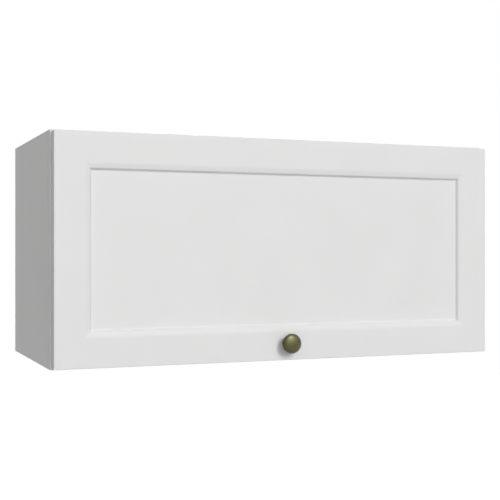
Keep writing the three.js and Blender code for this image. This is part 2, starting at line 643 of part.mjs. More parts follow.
// A cross-slotted screw up through the arm's web into the plate.
function armScrew(y) {
  const screw = turned([
    [0, -ARM_SCREW_HEAD_HEIGHT], [ARM_SCREW_HEAD_RADIUS * 0.7, -ARM_SCREW_HEAD_HEIGHT],
    [ARM_SCREW_HEAD_RADIUS, -ARM_SCREW_HEAD_HEIGHT * 0.4], [ARM_SCREW_HEAD_RADIUS, 0],
    [ARM_SCREW_RADIUS, 0], [ARM_SCREW_RADIUS, ARM_DROP - 2], [0, ARM_DROP - 2],
  ], '+z', [0, y, armBottom], SMALL_ROUND);
  const under = armBottom - ARM_SCREW_HEAD_HEIGHT;
  const slots = [[2, 0.5], [0.5, 2]].map(([u, v]) =>
    block([-u, u], [y - v, y + v], [under - 1, under + 1]));
  return cut(screw, ...slots);
}

// The cup: a pressed pot with a screw flange, a pin stub at each side for the outer link and two
// lugs for the inner link, slotted where the inner link leaves it when the door is open.
function hingeCup() {
  const pot = shaft(CUP_RADIUS, CUP_DEPTH, '-y', [0, doorInner, cupCentre], FINE_ROUND);
  const disc = shaft(FLANGE_RADIUS, FLANGE_THICKNESS, '+y', [0, doorInner, cupCentre], FINE_ROUND);
  const earHeight = cupCentre - FLANGE_EAR_OFFSET;
  const ears = frontal(roundedRectangle(0, earHeight, FLANGE_EAR_SPACING + FLANGE_EAR_RADIUS * 2,
    FLANGE_EAR_RADIUS * 2, FLANGE_EAR_RADIUS - 0.5), [doorInner, doorInner + FLANGE_THICKNESS]);
  const hollow = shaft(CUP_RADIUS - CUP_WALL, CUP_DEPTH - CUP_WALL * 0.7 + FLANGE_THICKNESS + 1, '-y',
    [0, doorInner + FLANGE_THICKNESS + 1, cupCentre], FINE_ROUND);
  const screwHoles = [-1, 1].map((side) => shaft(HINGE_SCREW_HOLE_RADIUS, FLANGE_THICKNESS + 2, '+y',
    [side * FLANGE_EAR_SPACING / 2, doorInner - 1, earHeight], SMALL_ROUND));
  const slotHalf = INNER_LINK_HALF_WIDTH + LINK_GAP;
  const slot = block([-slotHalf, slotHalf],
    [innerCupPin.x - INNER_LINK_EYE - 1, doorInner + FLANGE_THICKNESS + 1],
    [cupCentre + CUP_RADIUS - CUP_WALL * 2, cupCentre + FLANGE_RADIUS + 1]);
  const shell = cut(join(pot, disc, ears), hollow, ...screwHoles, slot);
  const stubInner = OUTER_LINK_HALF_WIDTH + SEAT_GAP;
  const chord = Math.sqrt((CUP_RADIUS - CUP_WALL / 2) ** 2 - (outerCupPin.y - cupCentre) ** 2);
  const stubs = [['+x', 1], ['-x', -1]].map(([axis, side]) =>
    shaft(HINGE_PIN_RADIUS, chord - stubInner, axis,
      [side * stubInner, outerCupPin.x, outerCupPin.y], SMALL_ROUND));
  const lugTop = cupCentre + CUP_RADIUS - CUP_WALL;
  const lugs = [-1, 1].map((side) => {
    const [near, far] = [slotHalf, slotHalf + CUP_WALL * 1.2];
    return block(side > 0 ? [near, far] : [-far, -near],
      [innerCupPin.x - INNER_LINK_EYE - 1, innerCupPin.x + INNER_LINK_EYE],
      [innerCupPin.y - INNER_LINK_EYE, lugTop]);
  });
  return join(shell, ...stubs, ...lugs);
}

// A link along +y of its own group, from the arm pin at the origin to the cup pin.
const linkEnd = (length) => new THREE.Vector2(length, 0);
const linkStart = new THREE.Vector2(0, 0);

function outerLink() {
  const length = outerArmPin.distanceTo(outerCupPin);
  const outline = strap(linkStart, linkEnd(length), OUTER_LINK_EYE);
  const inner = OUTER_LINK_HALF_WIDTH - OUTER_LINK_SHEET;
  const cheeks = [[-OUTER_LINK_HALF_WIDTH, -inner], [inner, OUTER_LINK_HALF_WIDTH]].map((range) =>
    sideways(outline, range));
  const web = block([-OUTER_LINK_HALF_WIDTH, OUTER_LINK_HALF_WIDTH],
    [OUTER_LINK_EYE * 1.5, length * 0.7], [OUTER_LINK_EYE - OUTER_LINK_SHEET, OUTER_LINK_EYE]);
  return cut(join(...cheeks, web), hingeEye(OUTER_LINK_HALF_WIDTH + 1, linkStart));
}

function innerLink() {
  const length = innerArmPin.distanceTo(innerCupPin);
  const outline = strap(linkStart, linkEnd(length), INNER_LINK_EYE);
  const eye = shaft(OUTER_LINK_EYE, INNER_LINK_HALF_WIDTH * 2, '+x', [-INNER_LINK_HALF_WIDTH, 0, 0], ROUND);
  const bar = sideways(outline, [-INNER_LINK_HALF_WIDTH, INNER_LINK_HALF_WIDTH]);
  return cut(join(bar, eye), hingeEye(INNER_LINK_HALF_WIDTH + 1, linkStart));
}

// ---------------------------------------------------------------- gas struts, left-hand ones

const strutDistance = sideInner - STRUT_FROM_SIDE;
const tubeMouth = SOCKET_LENGTH + ROD_SHOWING_WHEN_CLOSED;
const tubeLength = strutClosedLength - SOCKET_LENGTH - tubeMouth;
const rodInside = TUBE_NECK_LENGTH + PISTON_END_CLEARANCE + PISTON_LENGTH + strutStroke;

// The steel rod along +z from its socket, with the piston at its far end.
function strutRod() {
  const end = tubeMouth + rodInside;
  const piston = TUBE_RADIUS - TUBE_WALL - ROD_CLEARANCE;
  return turned([
    [0, SOCKET_LENGTH], [ROD_RADIUS, SOCKET_LENGTH], [ROD_RADIUS, end - PISTON_LENGTH],
    [piston, end - PISTON_LENGTH], [piston, end], [0, end],
  ], '+z', [0, 0, 0], 16);
}

// The cylinder: a tube closed at the door end, with a guide neck for the rod at the other.
function strutCylinder() {
  const end = tubeMouth + tubeLength;
  const bore = TUBE_RADIUS - TUBE_WALL;
  const neck = ROD_RADIUS + ROD_CLEARANCE;
  return turned([
    [0, end - TUBE_END_WALL], [bore, end - TUBE_END_WALL], [bore, tubeMouth + TUBE_NECK_LENGTH],
    [neck, tubeMouth + TUBE_NECK_LENGTH], [neck, tubeMouth], [TUBE_RADIUS - 1.2, tubeMouth],
    [TUBE_RADIUS, tubeMouth + 1.2], [TUBE_RADIUS, end - 1.2], [TUBE_RADIUS - 1.2, end], [0, end],
  ], '+z', [0, 0, 0], ROUND);
}

// A ball socket about the group's origin, its shank pointing along +z.
function ballSocket() {
  const eye = shaft(SOCKET_RADIUS, SOCKET_HALF_WIDTH * 2, '+x', [-SOCKET_HALF_WIDTH, 0, 0], ROUND);
  const shank = shaft(SOCKET_SHANK_RADIUS, SOCKET_LENGTH, '+z', [0, 0, 0], ROUND);
  return join(eye, shank);
}

const ballPocket = () => shaft(BALL_RADIUS + SEAT_GAP, SOCKET_HALF_WIDTH + BALL_RADIUS + SEAT_GAP, '+x',
  [-SOCKET_HALF_WIDTH, 0, 0], ROUND);

const rodEnd = () => cut(ballSocket(), ballPocket());

function cylinderEnd() {
  const geometry = toGeometry(ballSocket());
  geometry.rotateX(Math.PI);
  geometry.translate(0, 0, strutClosedLength);
  return toSolid(geometry);
}

// The bracket on the side panel: a screwed plate with a ball stud.
function sideBracket() {
  const outline = roundedRectangle(sideBall.x, sideBall.y, BRACKET_WIDTH, BRACKET_LENGTH, BRACKET_CORNER);
  const plate = sideways(outline, [-sideInner, -sideInner + BRACKET_SHEET]);
  const holes = [-1, 1].map((end) => shaft(BRACKET_HOLE_RADIUS, BRACKET_SHEET + 2, '+x',
    [-sideInner - 1, sideBall.x, sideBall.y + end * BRACKET_SCREW_SPACING / 2], SMALL_ROUND));
  const root = [-sideInner, sideBall.x, sideBall.y];
  const stud = shaft(BALL_STUD_RADIUS, STRUT_FROM_SIDE, '+x', root, ROUND);
  const collar = shaft(BALL_STUD_RADIUS * 1.8, BRACKET_SHEET * 2, '+x', root, ROUND);
  const sphere = new THREE.SphereGeometry(BALL_RADIUS, 12, 8);
  sphere.rotateZ(Math.PI / 2);
  sphere.translate(-strutDistance, sideBall.x, sideBall.y);
  return join(cut(plate, ...holes), stud, collar, toSolid(sphere));
}

// The bracket on the door: a screwed foot and an upright ear whose stud faces the strut.
function doorBracket() {
  const studTip = -strutDistance + SOCKET_HALF_WIDTH + SEAT_GAP;
  const earNear = studTip + DOOR_STUD_LENGTH;
  const earFar = earNear + BRACKET_SHEET;
  const footFar = earFar + BRACKET_WIDTH;
  const ear = new THREE.Shape();
  ear.moveTo(doorInner, doorBall.y - BRACKET_LENGTH / 2);
  ear.lineTo(doorInner + BRACKET_SHEET, doorBall.y - BRACKET_LENGTH / 2);
  ear.absarc(doorBall.x, doorBall.y, EAR_RADIUS, -60 * degrees, 60 * degrees);
  ear.lineTo(doorInner + BRACKET_SHEET, doorBall.y + BRACKET_LENGTH / 2);
  ear.lineTo(doorInner, doorBall.y + BRACKET_LENGTH / 2);
  const outline = roundedRectangle((earNear + footFar) / 2, doorBall.y, footFar - earNear,
    BRACKET_LENGTH, BRACKET_CORNER);
  const foot = frontal(outline, [doorInner, doorInner + BRACKET_SHEET]);
  const holes = [-1, 1].map((end) => shaft(BRACKET_HOLE_RADIUS, BRACKET_SHEET + 2, '+y',
    [(earFar + footFar) / 2, doorInner - 1, doorBall.y + end * BRACKET_SCREW_SPACING / 2], SMALL_ROUND));
  const stud = shaft(BALL_STUD_RADIUS, DOOR_STUD_LENGTH + BRACKET_SHEET + 2, '+x',
    [studTip, doorBall.x, doorBall.y], ROUND);
  const collar = shaft(BALL_RADIUS, DOOR_STUD_LENGTH / 2, '+x', [studTip, doorBall.x, doorBall.y], ROUND);
  return join(cut(foot, ...holes), sideways(ear, [earNear, earFar]), stud, collar);
}

// ---------------------------------------------------------------- assembly

const cabinet = new THREE.Group();
const moved = new THREE.Group();
moved.position.y = -(CABINET_DEPTH + doorFront - KNOB_PROJECTION) / 2;
cabinet.add(moved);

function place(name, geometry, material, { at = [0, 0, 0], tilt = 0 } = {}) {
  const mesh = new THREE.Mesh(geometry, material);
  mesh.name = name;
  mesh.position.set(...at);
  mesh.rotation.x = tilt;
  moved.add(mesh);
}

// Places a left-hand piece and its mirror image.
function placePair(name, solid, material, { at = [0, 0, 0], tilt = 0 } = {}) {
  const geometry = toGeometry(solid);
  const [x, y, z] = at;
  place(`${name}_left`, geometry, material, { at, tilt });
  place(`${name}_right`, mirrored(geometry), material, { at: [-x, y, z], tilt });
}

placePair('side_panel', sidePanel(), CARCASS_LAMINATE);
place('top_panel', toGeometry(levelPanel('top')), CARCASS_LAMINATE);
place('bottom_panel', toGeometry(levelPanel('bottom')), CARCASS_LAMINATE);
place('back_panel', toGeometry(backPanel()), BACK_BOARD);

for (const level of ['top', 'bottom']) {
  for (const [end, y] of Object.entries(camSetbacks)) {
    placePair(`cam_${level}_${end}`, cam(), ZINC, { at: [-camDistance, y, camFace[level]] });
    placePair(`cam_bolt_${level}_${end}`, camBolt(), ZINC,
      { at: [-sideInner - CAM_BOLT_THREAD_LENGTH, y, boltHeight[level]] });
  }
}

placePair('hanger_housing', hangerHousing(), WHITE_PLASTIC);
placePair('hanger_hook', hangerHook(), ZINC);
['height', 'depth'].forEach((use, row) => {
  placePair(`hanger_${use}_screw`, hangerScrew(hangerScrewHeights[row]), ZINC);
});

place('door', toGeometry(door()), DOOR_FOIL);
place('knob', toGeometry(knob()), ANTIQUE_BRASS);
place('knob_screw', toGeometry(knobScrew()), ZINC);
placePair('bumper', bumper(), CLEAR_RUBBER);

const atHinge = { at: [-hingeDistance, 0, 0] };
placePair('hinge_plate', hingePlate(), NICKEL_STEEL, atHinge);
placePair('hinge_arm', hingeArm(), NICKEL_STEEL, atHinge);
placePair('hinge_adjusting_screw', armScrew(ADJUST_SCREW_SETBACK), ZINC, atHinge);
placePair('hinge_fixing_screw', armScrew(FIXING_SCREW_SETBACK), ZINC, atHinge);
placePair('hinge_cup', hingeCup(), NICKEL_STEEL, atHinge);
const linkTilt = (from, to) => Math.atan2(to.y - from.y, to.x - from.x);
placePair('hinge_outer_link', outerLink(), NICKEL_STEEL,
  { at: [-hingeDistance, outerArmPin.x, outerArmPin.y], tilt: linkTilt(outerArmPin, outerCupPin) });
placePair('hinge_inner_link', innerLink(), NICKEL_STEEL,
  { at: [-hingeDistance, innerArmPin.x, innerArmPin.y], tilt: linkTilt(innerArmPin, innerCupPin) });

const atStrut = { at: [-strutDistance, sideBall.x, sideBall.y], tilt: strutLean };
placePair('strut_side_bracket', sideBracket(), ZINC);
placePair('strut_rod_end', rodEnd(), GREY_NYLON, atStrut);
placePair('strut_rod', strutRod(), CHROME_ROD, atStrut);
placePair('strut_cylinder', strutCylinder(), PAINTED_TUBE, atStrut);
placePair('strut_cylinder_end', cylinderEnd(), GREY_NYLON, atStrut);
placePair('strut_door_bracket', doorBracket(), ZINC);

export default cabinet;
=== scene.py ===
"""A lift up wall cabinet: a white carcass, a framed top-hung door, a round brass knob, concealed cup
hinges, gas struts and wall hangers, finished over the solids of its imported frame.

Lengths are written in millimetres, as a maker reads them: x from the middle of the cabinet, y back
from the front edge of the carcass, z up from its underside. metres() turns them into the frame's own.
"""
import json
import math

import bmesh
import bpy
import numpy as np
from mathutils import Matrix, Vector

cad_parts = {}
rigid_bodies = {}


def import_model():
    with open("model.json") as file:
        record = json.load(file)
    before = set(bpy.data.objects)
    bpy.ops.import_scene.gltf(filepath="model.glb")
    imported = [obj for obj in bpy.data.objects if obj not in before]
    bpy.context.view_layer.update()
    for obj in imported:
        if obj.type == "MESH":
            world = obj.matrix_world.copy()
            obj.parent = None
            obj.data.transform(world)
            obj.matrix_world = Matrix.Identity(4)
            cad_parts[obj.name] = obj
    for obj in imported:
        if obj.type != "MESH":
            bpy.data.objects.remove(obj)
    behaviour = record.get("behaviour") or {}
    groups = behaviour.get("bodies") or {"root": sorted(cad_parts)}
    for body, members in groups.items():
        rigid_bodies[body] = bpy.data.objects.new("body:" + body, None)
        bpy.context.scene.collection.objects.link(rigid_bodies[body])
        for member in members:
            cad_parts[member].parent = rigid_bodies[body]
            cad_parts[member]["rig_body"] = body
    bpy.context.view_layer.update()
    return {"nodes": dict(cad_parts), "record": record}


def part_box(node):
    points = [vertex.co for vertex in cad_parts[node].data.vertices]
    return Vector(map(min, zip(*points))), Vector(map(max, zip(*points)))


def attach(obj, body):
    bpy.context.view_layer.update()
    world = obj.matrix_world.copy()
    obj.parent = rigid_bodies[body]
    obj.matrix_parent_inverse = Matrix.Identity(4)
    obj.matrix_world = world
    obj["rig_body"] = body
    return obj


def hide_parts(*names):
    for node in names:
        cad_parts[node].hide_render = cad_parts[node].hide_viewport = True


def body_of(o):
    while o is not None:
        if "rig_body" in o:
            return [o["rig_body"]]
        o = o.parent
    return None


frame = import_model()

MM = 0.001
SAME_POINT = 1e-6               # corners that lie this close are one, in metres; twice this in new meshes
FLAT_TURN, EDGE_TURN = 1.0, 35  # faces that turn by fewer degrees are one flat, by more an edge
CARCASS_FRONT = -137.5          # the frame's y of the carcass's front edge
SIDES = {"left": -1, "right": 1}

# planes at the frame's own y, in metres: the joint behind the edge band, and where the sawn rear edges and
# the back board's bare side start
BAND_JOINT, SAWN_REAR, BARE_BACK = -0.1366, 0.18215, 0.1640
MESH_PRINT = 3600.0             # radians a metre of the waves that a wire mesh leaves on the back board

# door
DOOR_HALF_WIDTH = 378
DOOR_BOTTOM, DOOR_TOP = 2, 357
DOOR_BACK, DOOR_FRONT = -2, -20
DOOR_CORNER, CORNER_FADE = 1.0, 0.75    # the corners' radius, and how fast it shrinks with the inset
KNOB_HEIGHT = 29.7
KNOB_HOLE_RADIUS, KNOB_HOLE_LENGTH = 2.5, 22
CUP_RADIUS, CUP_HEIGHT, CUP_FLOOR, BORE_LENGTH = 17.5, 336.5, -14, 14
HINGE_PLACE = 280

# the door's moulding: insets from the door's edge, depths, and the half axes and turn of its roll
FRAME_INSET = 46.8
SLOPE_INSET, SLOPE_DEPTH = 52.8, -18.3
ROLL_REACH, ROLL_DROP, ROLL_TURN = 3.2, 5.3, math.pi / 3
FIELD_INSET, FIELD_DEPTH = 59.0, -13.0

# struts: pivot on the side panel, direction of the strut when closed, places along it
STRUT_PLACE = 344
STRUT_FOOT = (37.0, 107.0)
STRUT_WAY = np.array([0.0, -0.083046, 0.996546])
STRUT_LENGTH = 180.62
TUBE_START, TUBE_END = 24.0, 166.62
TUBE_RADIUS, TUBE_BORE, GROOVE_RADIUS = 7.5, 6.2, 7.0
ROD_START, ROD_RADIUS, ROD_CLEARANCE = 14, 3, 0.3
PISTON_START, PISTON_END, PISTON_RADIUS = 94.35, 100.35, 5.9
SOCKET_RADIUS, SOCKET_REACH, POCKET_RADIUS = 7, 7.8, 5.3

# the small screws: the middle of each pair, and how far each lies from it, along x on the hinges and
# along z on the struts' brackets
PLATE_SCREWS, PLATE_STEP = (HINGE_PLACE, 37, 342), 16
CUP_SCREWS, CUP_STEP = (HINGE_PLACE, -0.8, 331), 24
SIDE_SCREWS, DOOR_SCREWS, BRACKET_STEP = (361.5, 37, 107), (319.4, 0.5, 287), 16

# stage: the floor, the world's strength on the object, and the lights, each with its name, where it shines
# from, its strength, its width in degrees and whether gloss alone shows it
FLOOR_REACH, FLOOR_LEVEL, FLOOR_THICKNESS = 9000, -1380, 20
FLOOR_TONE, FLOOR_GLOW = 0.82, 0.75
ROOM_LIGHT = 0.178
LIGHTS = (("window light", (0.20, -0.85, 0.45), 1.49, 25, False),
          ("side fill", (-0.22, -0.95, 0.0), 1.26, 75, False),
          ("high light", (0.0, -0.52, 0.85), 2.0, 34, True),
          ("soft top light", (-0.05, -0.7, 0.66), 2.6, 80, True))

# camera: its place in metres, its turn about the vertical in degrees and its focal length
CAMERA_PLACE, CAMERA_TURN, CAMERA_LENS = (-0.67393, -1.66175, 0.17947), -22.0, 73.54

scene = bpy.context.scene
nodes = frame["nodes"]


# ------------------------------------------------------------------ shapes

def metres(points):
    """Millimetres from the carcass's front edge to the frame: (p + (0, front, 0)) / 1000."""
    return (np.asarray(points, float) + [0.0, CARCASS_FRONT, 0.0]) * MM


def extent(name):
    """The lowest and highest corner of a node in millimetres from the carcass's front edge."""
    return [np.array(corner) / MM - [0.0, CARCASS_FRONT, 0.0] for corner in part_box(name)]


def softened(points, radius, steps=6):
    """A profile with rounded corners. Each inner corner V becomes the curve
    (1-t)^2 A + 2t(1-t) V + t^2 C, where A and C lie a radius away from V towards its neighbours, but no
    more than 0.4 of the way to the nearer one. A further point on each side of the curve, 1.2 radii from
    V, keeps the shading of the flats beside it even."""
    path = np.asarray(points, float)
    corner = path[1:-1]
    before, after = path[:-2] - corner, path[2:] - corner
    reach_before = np.linalg.norm(before, axis=1, keepdims=True)
    reach_after = np.linalg.norm(after, axis=1, keepdims=True)
    size = np.broadcast_to(np.asarray(radius, float), (len(corner),))[:, None]
    size = np.minimum(size, 0.4 * np.minimum(reach_before, reach_after))
    before, after = before / reach_before, after / reach_after
    t = np.linspace(0, 1, steps)[None, :, None]
    start, end, middle = [p[:, None, :] for p in (corner + before * size, corner + after * size, corner)]
    curve = (1 - t) ** 2 * start + 2 * t * (1 - t) * middle + t ** 2 * end
    lead, trail = [(corner + way * size * 1.2)[:, None, :] for way in (before, after)]
    rounded = np.concatenate([lead, curve, trail], axis=1).reshape(-1, 2)
    return np.vstack([path[:1], rounded, path[-1:]])


def loft(rings, closed_ends=True):
    """Points and faces of a surface through rings, an array of rings by columns by 3: each face joins a
    point, its neighbour on the ring and the same two on the next ring. Closed ends are flat."""
    rings = np.asarray(rings, float)
    rows, columns = rings.shape[:2]
    row, column = np.meshgrid(np.arange(rows - 1), np.arange(columns), indexing="ij")
    beside = (column + 1) % columns
    faces = np.stack([row * columns + column, row * columns + beside,
                      (row + 1) * columns + beside, (row + 1) * columns + column], -1)
    faces = faces.reshape(-1, 4).tolist()
    if closed_ends:
        faces += [list(range(columns))[::-1], list(range((rows - 1) * columns, rows * columns))]
    return rings.reshape(-1, 3), faces


def across(axis):
    """Two unit vectors square to an axis and to each other, and the axis at unit length."""
    axis = np.asarray(axis, float) / np.linalg.norm(axis)
    helper = np.array([0.0, 0.0, 1.0]) if abs(axis[2]) < 0.7 else np.array([1.0, 0.0, 0.0])
    first = np.cross(helper, axis)
    first /= np.linalg.norm(first)
    return first, np.cross(axis, first), axis


def stood(local, at, axis):
    """Local points (a, b, t) put at a place: at + a first + b second + t axis."""
    first, second, axis = across(axis)
    return np.asarray(at, float) + local[..., :1] * first + local[..., 1:2] * second + local[..., 2:] * axis


def turned(profile, at, axis, columns, dent=None):
    """A profile of (radius, height) rows turned about an axis: the point of a row at angle a is
    (r cos a, r sin a, h - dent(r cos a, r sin a, r)). The first and last radius are 0."""
    profile = np.asarray(profile, float)
    angle = np.arange(columns) * 2 * math.pi / columns
    r, h = profile[:, :1], profile[:, 1:]
    a, b = r * np.cos(angle), r * np.sin(angle)
    h = np.broadcast_to(h, a.shape)
    if dent is not None:
        h = h - dent(a, b, np.broadcast_to(r, a.shape))
    return loft(stood(np.stack([a, b, h], -1), at, axis), closed_ends=False)


def solid(name, *parts):
    """One closed mesh of parts given in millimetres: corners that meet are joined, and faces that have
    shrunk to nothing go, before the normals are turned outwards."""
    points, faces, start = [], [], 0
    for part_points, part_faces in parts:
        points.append(metres(part_points))
        faces += [[start + index for index in face] for face in part_faces]
        start += len(part_points)
    mesh = bpy.data.meshes.new(name)
    mesh.from_pydata(np.vstack(points), [], faces)
    return tidied(name, mesh)


def tidied(name, mesh, merge=2 * SAME_POINT):
    """An object at the origin from a mesh whose doubles are joined and whose faces look outwards."""
    work = bmesh.new()
    work.from_mesh(mesh)
    bmesh.ops.remove_doubles(work, verts=work.verts, dist=merge)
    bmesh.ops.recalc_face_normals(work, faces=work.faces)
    work.to_mesh(mesh)
    work.free()
    piece = bpy.data.objects.new(name, mesh)
    scene.collection.objects.link(piece)
    return piece


def carved(piece, *tools):
    """The piece less the tools, which are then removed."""
    for tool in tools:
        cut = piece.modifiers.new("cut", "BOOLEAN")
        cut.object, cut.operation, cut.solver = tool, "DIFFERENCE", "EXACT"
    graph = bpy.context.evaluated_depsgraph_get()
    mesh = bpy.data.meshes.new_from_object(piece.evaluated_get(graph))
    piece.modifiers.clear()
    piece.data = mesh
    mesh.name = piece.name
    for tool in tools:
        bpy.data.objects.remove(tool)
    return piece


def levelled(piece):
    """Weighs the normals by area, so that flats look flat right up to a rounded edge or a bore."""
    flats = piece.modifiers.new("flats", "WEIGHTED_NORMAL")
    flats.keep_sharp, flats.weight = True, 100
    return piece


def copied(node, name, edge):
    """A closed copy of a node's mesh: its loose corners joined, its flat faces made whole, and its edges
    rounded by a Bevel modifier of that width in millimetres. A Weld modifier drops the faces that the
    rounding leaves without area, as round a small hole."""
    piece = tidied(name, nodes[node].data.copy(), SAME_POINT)
    piece.data.materials.clear()
    work = bmesh.new()
    work.from_mesh(piece.data)
    bmesh.ops.dissolve_limit(work, angle_limit=math.radians(FLAT_TURN), verts=work.verts,
                             edges=work.edges, use_dissolve_boundaries=False)
    work.to_mesh(piece.data)
    work.free()
    bevel = piece.modifiers.new("edges", "BEVEL")
    bevel.width, bevel.segments = edge * MM, 2
    bevel.limit_method, bevel.angle_limit = "ANGLE", math.radians(EDGE_TURN)
    bevel.loop_slide = False
    joined = piece.modifiers.new("joined", "WELD")
    joined.merge_threshold = SAME_POINT
    return levelled(piece)


def dressed(piece, finish, slot, *stands_for, body=None, sharp=32):
    """Gives a piece its finish and body, smooth faces that stay sharp where they turn by more than the angle,
    and hides the nodes that it stands for. It rides on the body of the first of them. The slot is not used."""
    piece.data.materials.clear()
    piece.data.materials.append(finish)
    piece.data.polygons.foreach_set("use_smooth", np.ones(len(piece.data.polygons), bool))
    piece.data.set_sharp_from_angle(angle=math.radians(sharp))
    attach(piece, body or body_of(nodes[stands_for[0]])[0])
    if stands_for:
        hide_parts(*stands_for)
    return piece


# ---------------------------------------------------------------- shader parts

def add(tree, kind, settings=None, inputs=None):
    """A shader node with its settings; an input given a socket is wired to it, any other is its value."""
    made = tree.nodes.new("ShaderNode" + kind)
    for name, value in (settings or {}).items():
        setattr(made, name, value)
    for name, value in (inputs or {}).items():
        if isinstance(value, bpy.types.NodeSocket):
            tree.links.new(value, made.inputs[name])
        else:
            made.inputs[name].default_value = value
    return made


def sums(tree, operation, first, second=0.5, third=None):
    """A Math node's result. The second value has no part in SINE and ABSOLUTE."""
    inputs = {0: first, 1: second}
    if third is not None:
        inputs[2] = third
    return add(tree, "Math", {"operation": operation}, inputs).outputs[0]


def spread(tree, value, low, high, to_low=0.0, to_high=1.0):
    """A value mapped from one range to another and kept inside it."""
    return add(tree, "MapRange", {"clamp": True}, {"Value": value, "From Min": low, "From Max": high,
                                                   "To Min": to_low, "To Max": to_high}).outputs[0]


def mixed(tree, factor, low, high, kind="MIX"):
    """Two colours mixed by a factor."""
    made = add(tree, "Mix", {"data_type": "RGBA", "blend_type": kind}, {0: factor, 6: low, 7: high})
    return made.outputs[2]


def noise(tree, vector, scale, detail=2.0, rough=0.5):
    """A noise between 0 and 1."""
    return add(tree, "TexNoise", None, {"Vector": vector, "Scale": scale, "Detail": detail,
                                        "Roughness": rough}).outputs["Fac"]


def effect(name, inputs, outputs):
    """A new node group with named sockets: the tree, its way in and its way out."""
    tree = bpy.data.node_groups.new(name, "ShaderNodeTree")
    for label, kind, value in inputs:
        made = tree.interface.new_socket(label, in_out="INPUT", socket_type="NodeSocket" + kind)
        if value is not None:
            made.default_value = value
    for label, kind in outputs:
        tree.interface.new_socket(label, in_out="OUTPUT", socket_type="NodeSocket" + kind)
    return tree, tree.nodes.new("NodeGroupInput").outputs, tree.nodes.new("NodeGroupOutput").inputs


def placed(tree, group, inputs):
    """A node group placed in a material with its own values."""
    return add(tree, "Group", {"node_tree": group}, inputs).outputs


def surface_relief():
    """Height = fine noise + share x broad noise: the slight unevenness of foil, paint or moulded plastic."""
    tree, given, out = effect("surface relief", [("Vector", "Vector", None), ("Fine", "Float", 900.0),
                                                 ("Broad", "Float", 60.0), ("Share", "Float", 1.0)],
                              [("Height", "Float")])
    fine = noise(tree, given["Vector"], given["Fine"], 3.0)
    broad = noise(tree, given["Vector"], given["Broad"], 1.0)
    tree.links.new(sums(tree, "MULTIPLY_ADD", broad, given["Share"], fine), out["Height"])
    return tree


def tone_drift():
    """Colour = low to high by a soft noise, which is also the mask: no finish is quite even."""
    tree, given, out = effect("tone drift", [("Vector", "Vector", None), ("Scale", "Float", 12.0),
                                             ("Low", "Color", None), ("High", "Color", None)],
                              [("Color", "Color"), ("Mask", "Float")])
    mask = spread(tree, noise(tree, given["Vector"], given["Scale"], 4.0, 0.55), 0.32, 0.68)
    tree.links.new(mixed(tree, mask, given["Low"], given["High"]), out["Color"])
    tree.links.new(mask, out["Mask"])
    return tree


def rubbing():
    """Mask = where a noise drawn out along one way passes a level: faint rub marks from hands and cloths."""
    tree, given, out = effect("rubbing", [("Vector", "Vector", None), ("Stretch", "Vector", (1, 1, 1)),
                                          ("Scale", "Float", 60.0), ("Level", "Float", 0.6)],
                              [("Mask", "Float")])
    drawn = add(tree, "VectorMath", {"operation": "MULTIPLY"}, {0: given["Vector"], 1: given["Stretch"]})
    marks = noise(tree, drawn.outputs[0], given["Scale"], 5.0, 0.6)
    above = sums(tree, "SUBTRACT", marks, given["Level"])
    tree.links.new(spread(tree, above, 0.0, 0.12), out["Mask"])
    return tree


def drawn_lines():
    """Height and Mask = noise squeezed across one way and drawn out along the other, as on rolled metal."""
    tree, given, out = effect("drawn lines", [("Vector", "Vector", None), ("Stretch", "Vector", (1, 1, 1)),
                                              ("Scale", "Float", 400.0)],
                              [("Height", "Float"), ("Mask", "Float")])
    drawn = add(tree, "VectorMath", {"operation": "MULTIPLY"}, {0: given["Vector"], 1: given["Stretch"]})
    lines = noise(tree, drawn.outputs[0], given["Scale"], 4.0, 0.65)
    tree.links.new(lines, out["Height"])
    tree.links.new(spread(tree, lines, 0.3, 0.7), out["Mask"])
    return tree


def behind_plane():
    """Mask = how far y lies behind a plane, over the softness: the sawn rear edges and the board's back."""
    tree, given, out = effect("behind plane", [("Vector", "Vector", None), ("Plane", "Float", 0.18),
                                               ("Softness", "Float", 0.0001)], [("Mask", "Float")])
    y = add(tree, "SeparateXYZ", None, {0: given["Vector"]}).outputs["Y"]
    past = sums(tree, "SUBTRACT", y, given["Plane"])
    share = add(tree, "Math", {"operation": "DIVIDE", "use_clamp": True}, {0: past, 1: given["Softness"]})
    tree.links.new(share.outputs[0], out["Mask"])
    return tree


def edge_joint():
    """Mask = 1 where y is at a plane, falling to 0 a half width away: the joint behind an edge band."""
    tree, given, out = effect("edge joint", [("Vector", "Vector", None), ("Plane", "Float", -0.1367),
                                             ("Half width", "Float", 0.0002)], [("Mask", "Float")])
    y = add(tree, "SeparateXYZ", None, {0: given["Vector"]}).outputs["Y"]
    gap = sums(tree, "ABSOLUTE", sums(tree, "SUBTRACT", y, given["Plane"]))
    near = sums(tree, "SUBTRACT", 1.0, sums(tree, "DIVIDE", gap, given["Half width"]))
    tree.links.new(sums(tree, "MAXIMUM", near, 0.0), out["Mask"])
    return tree


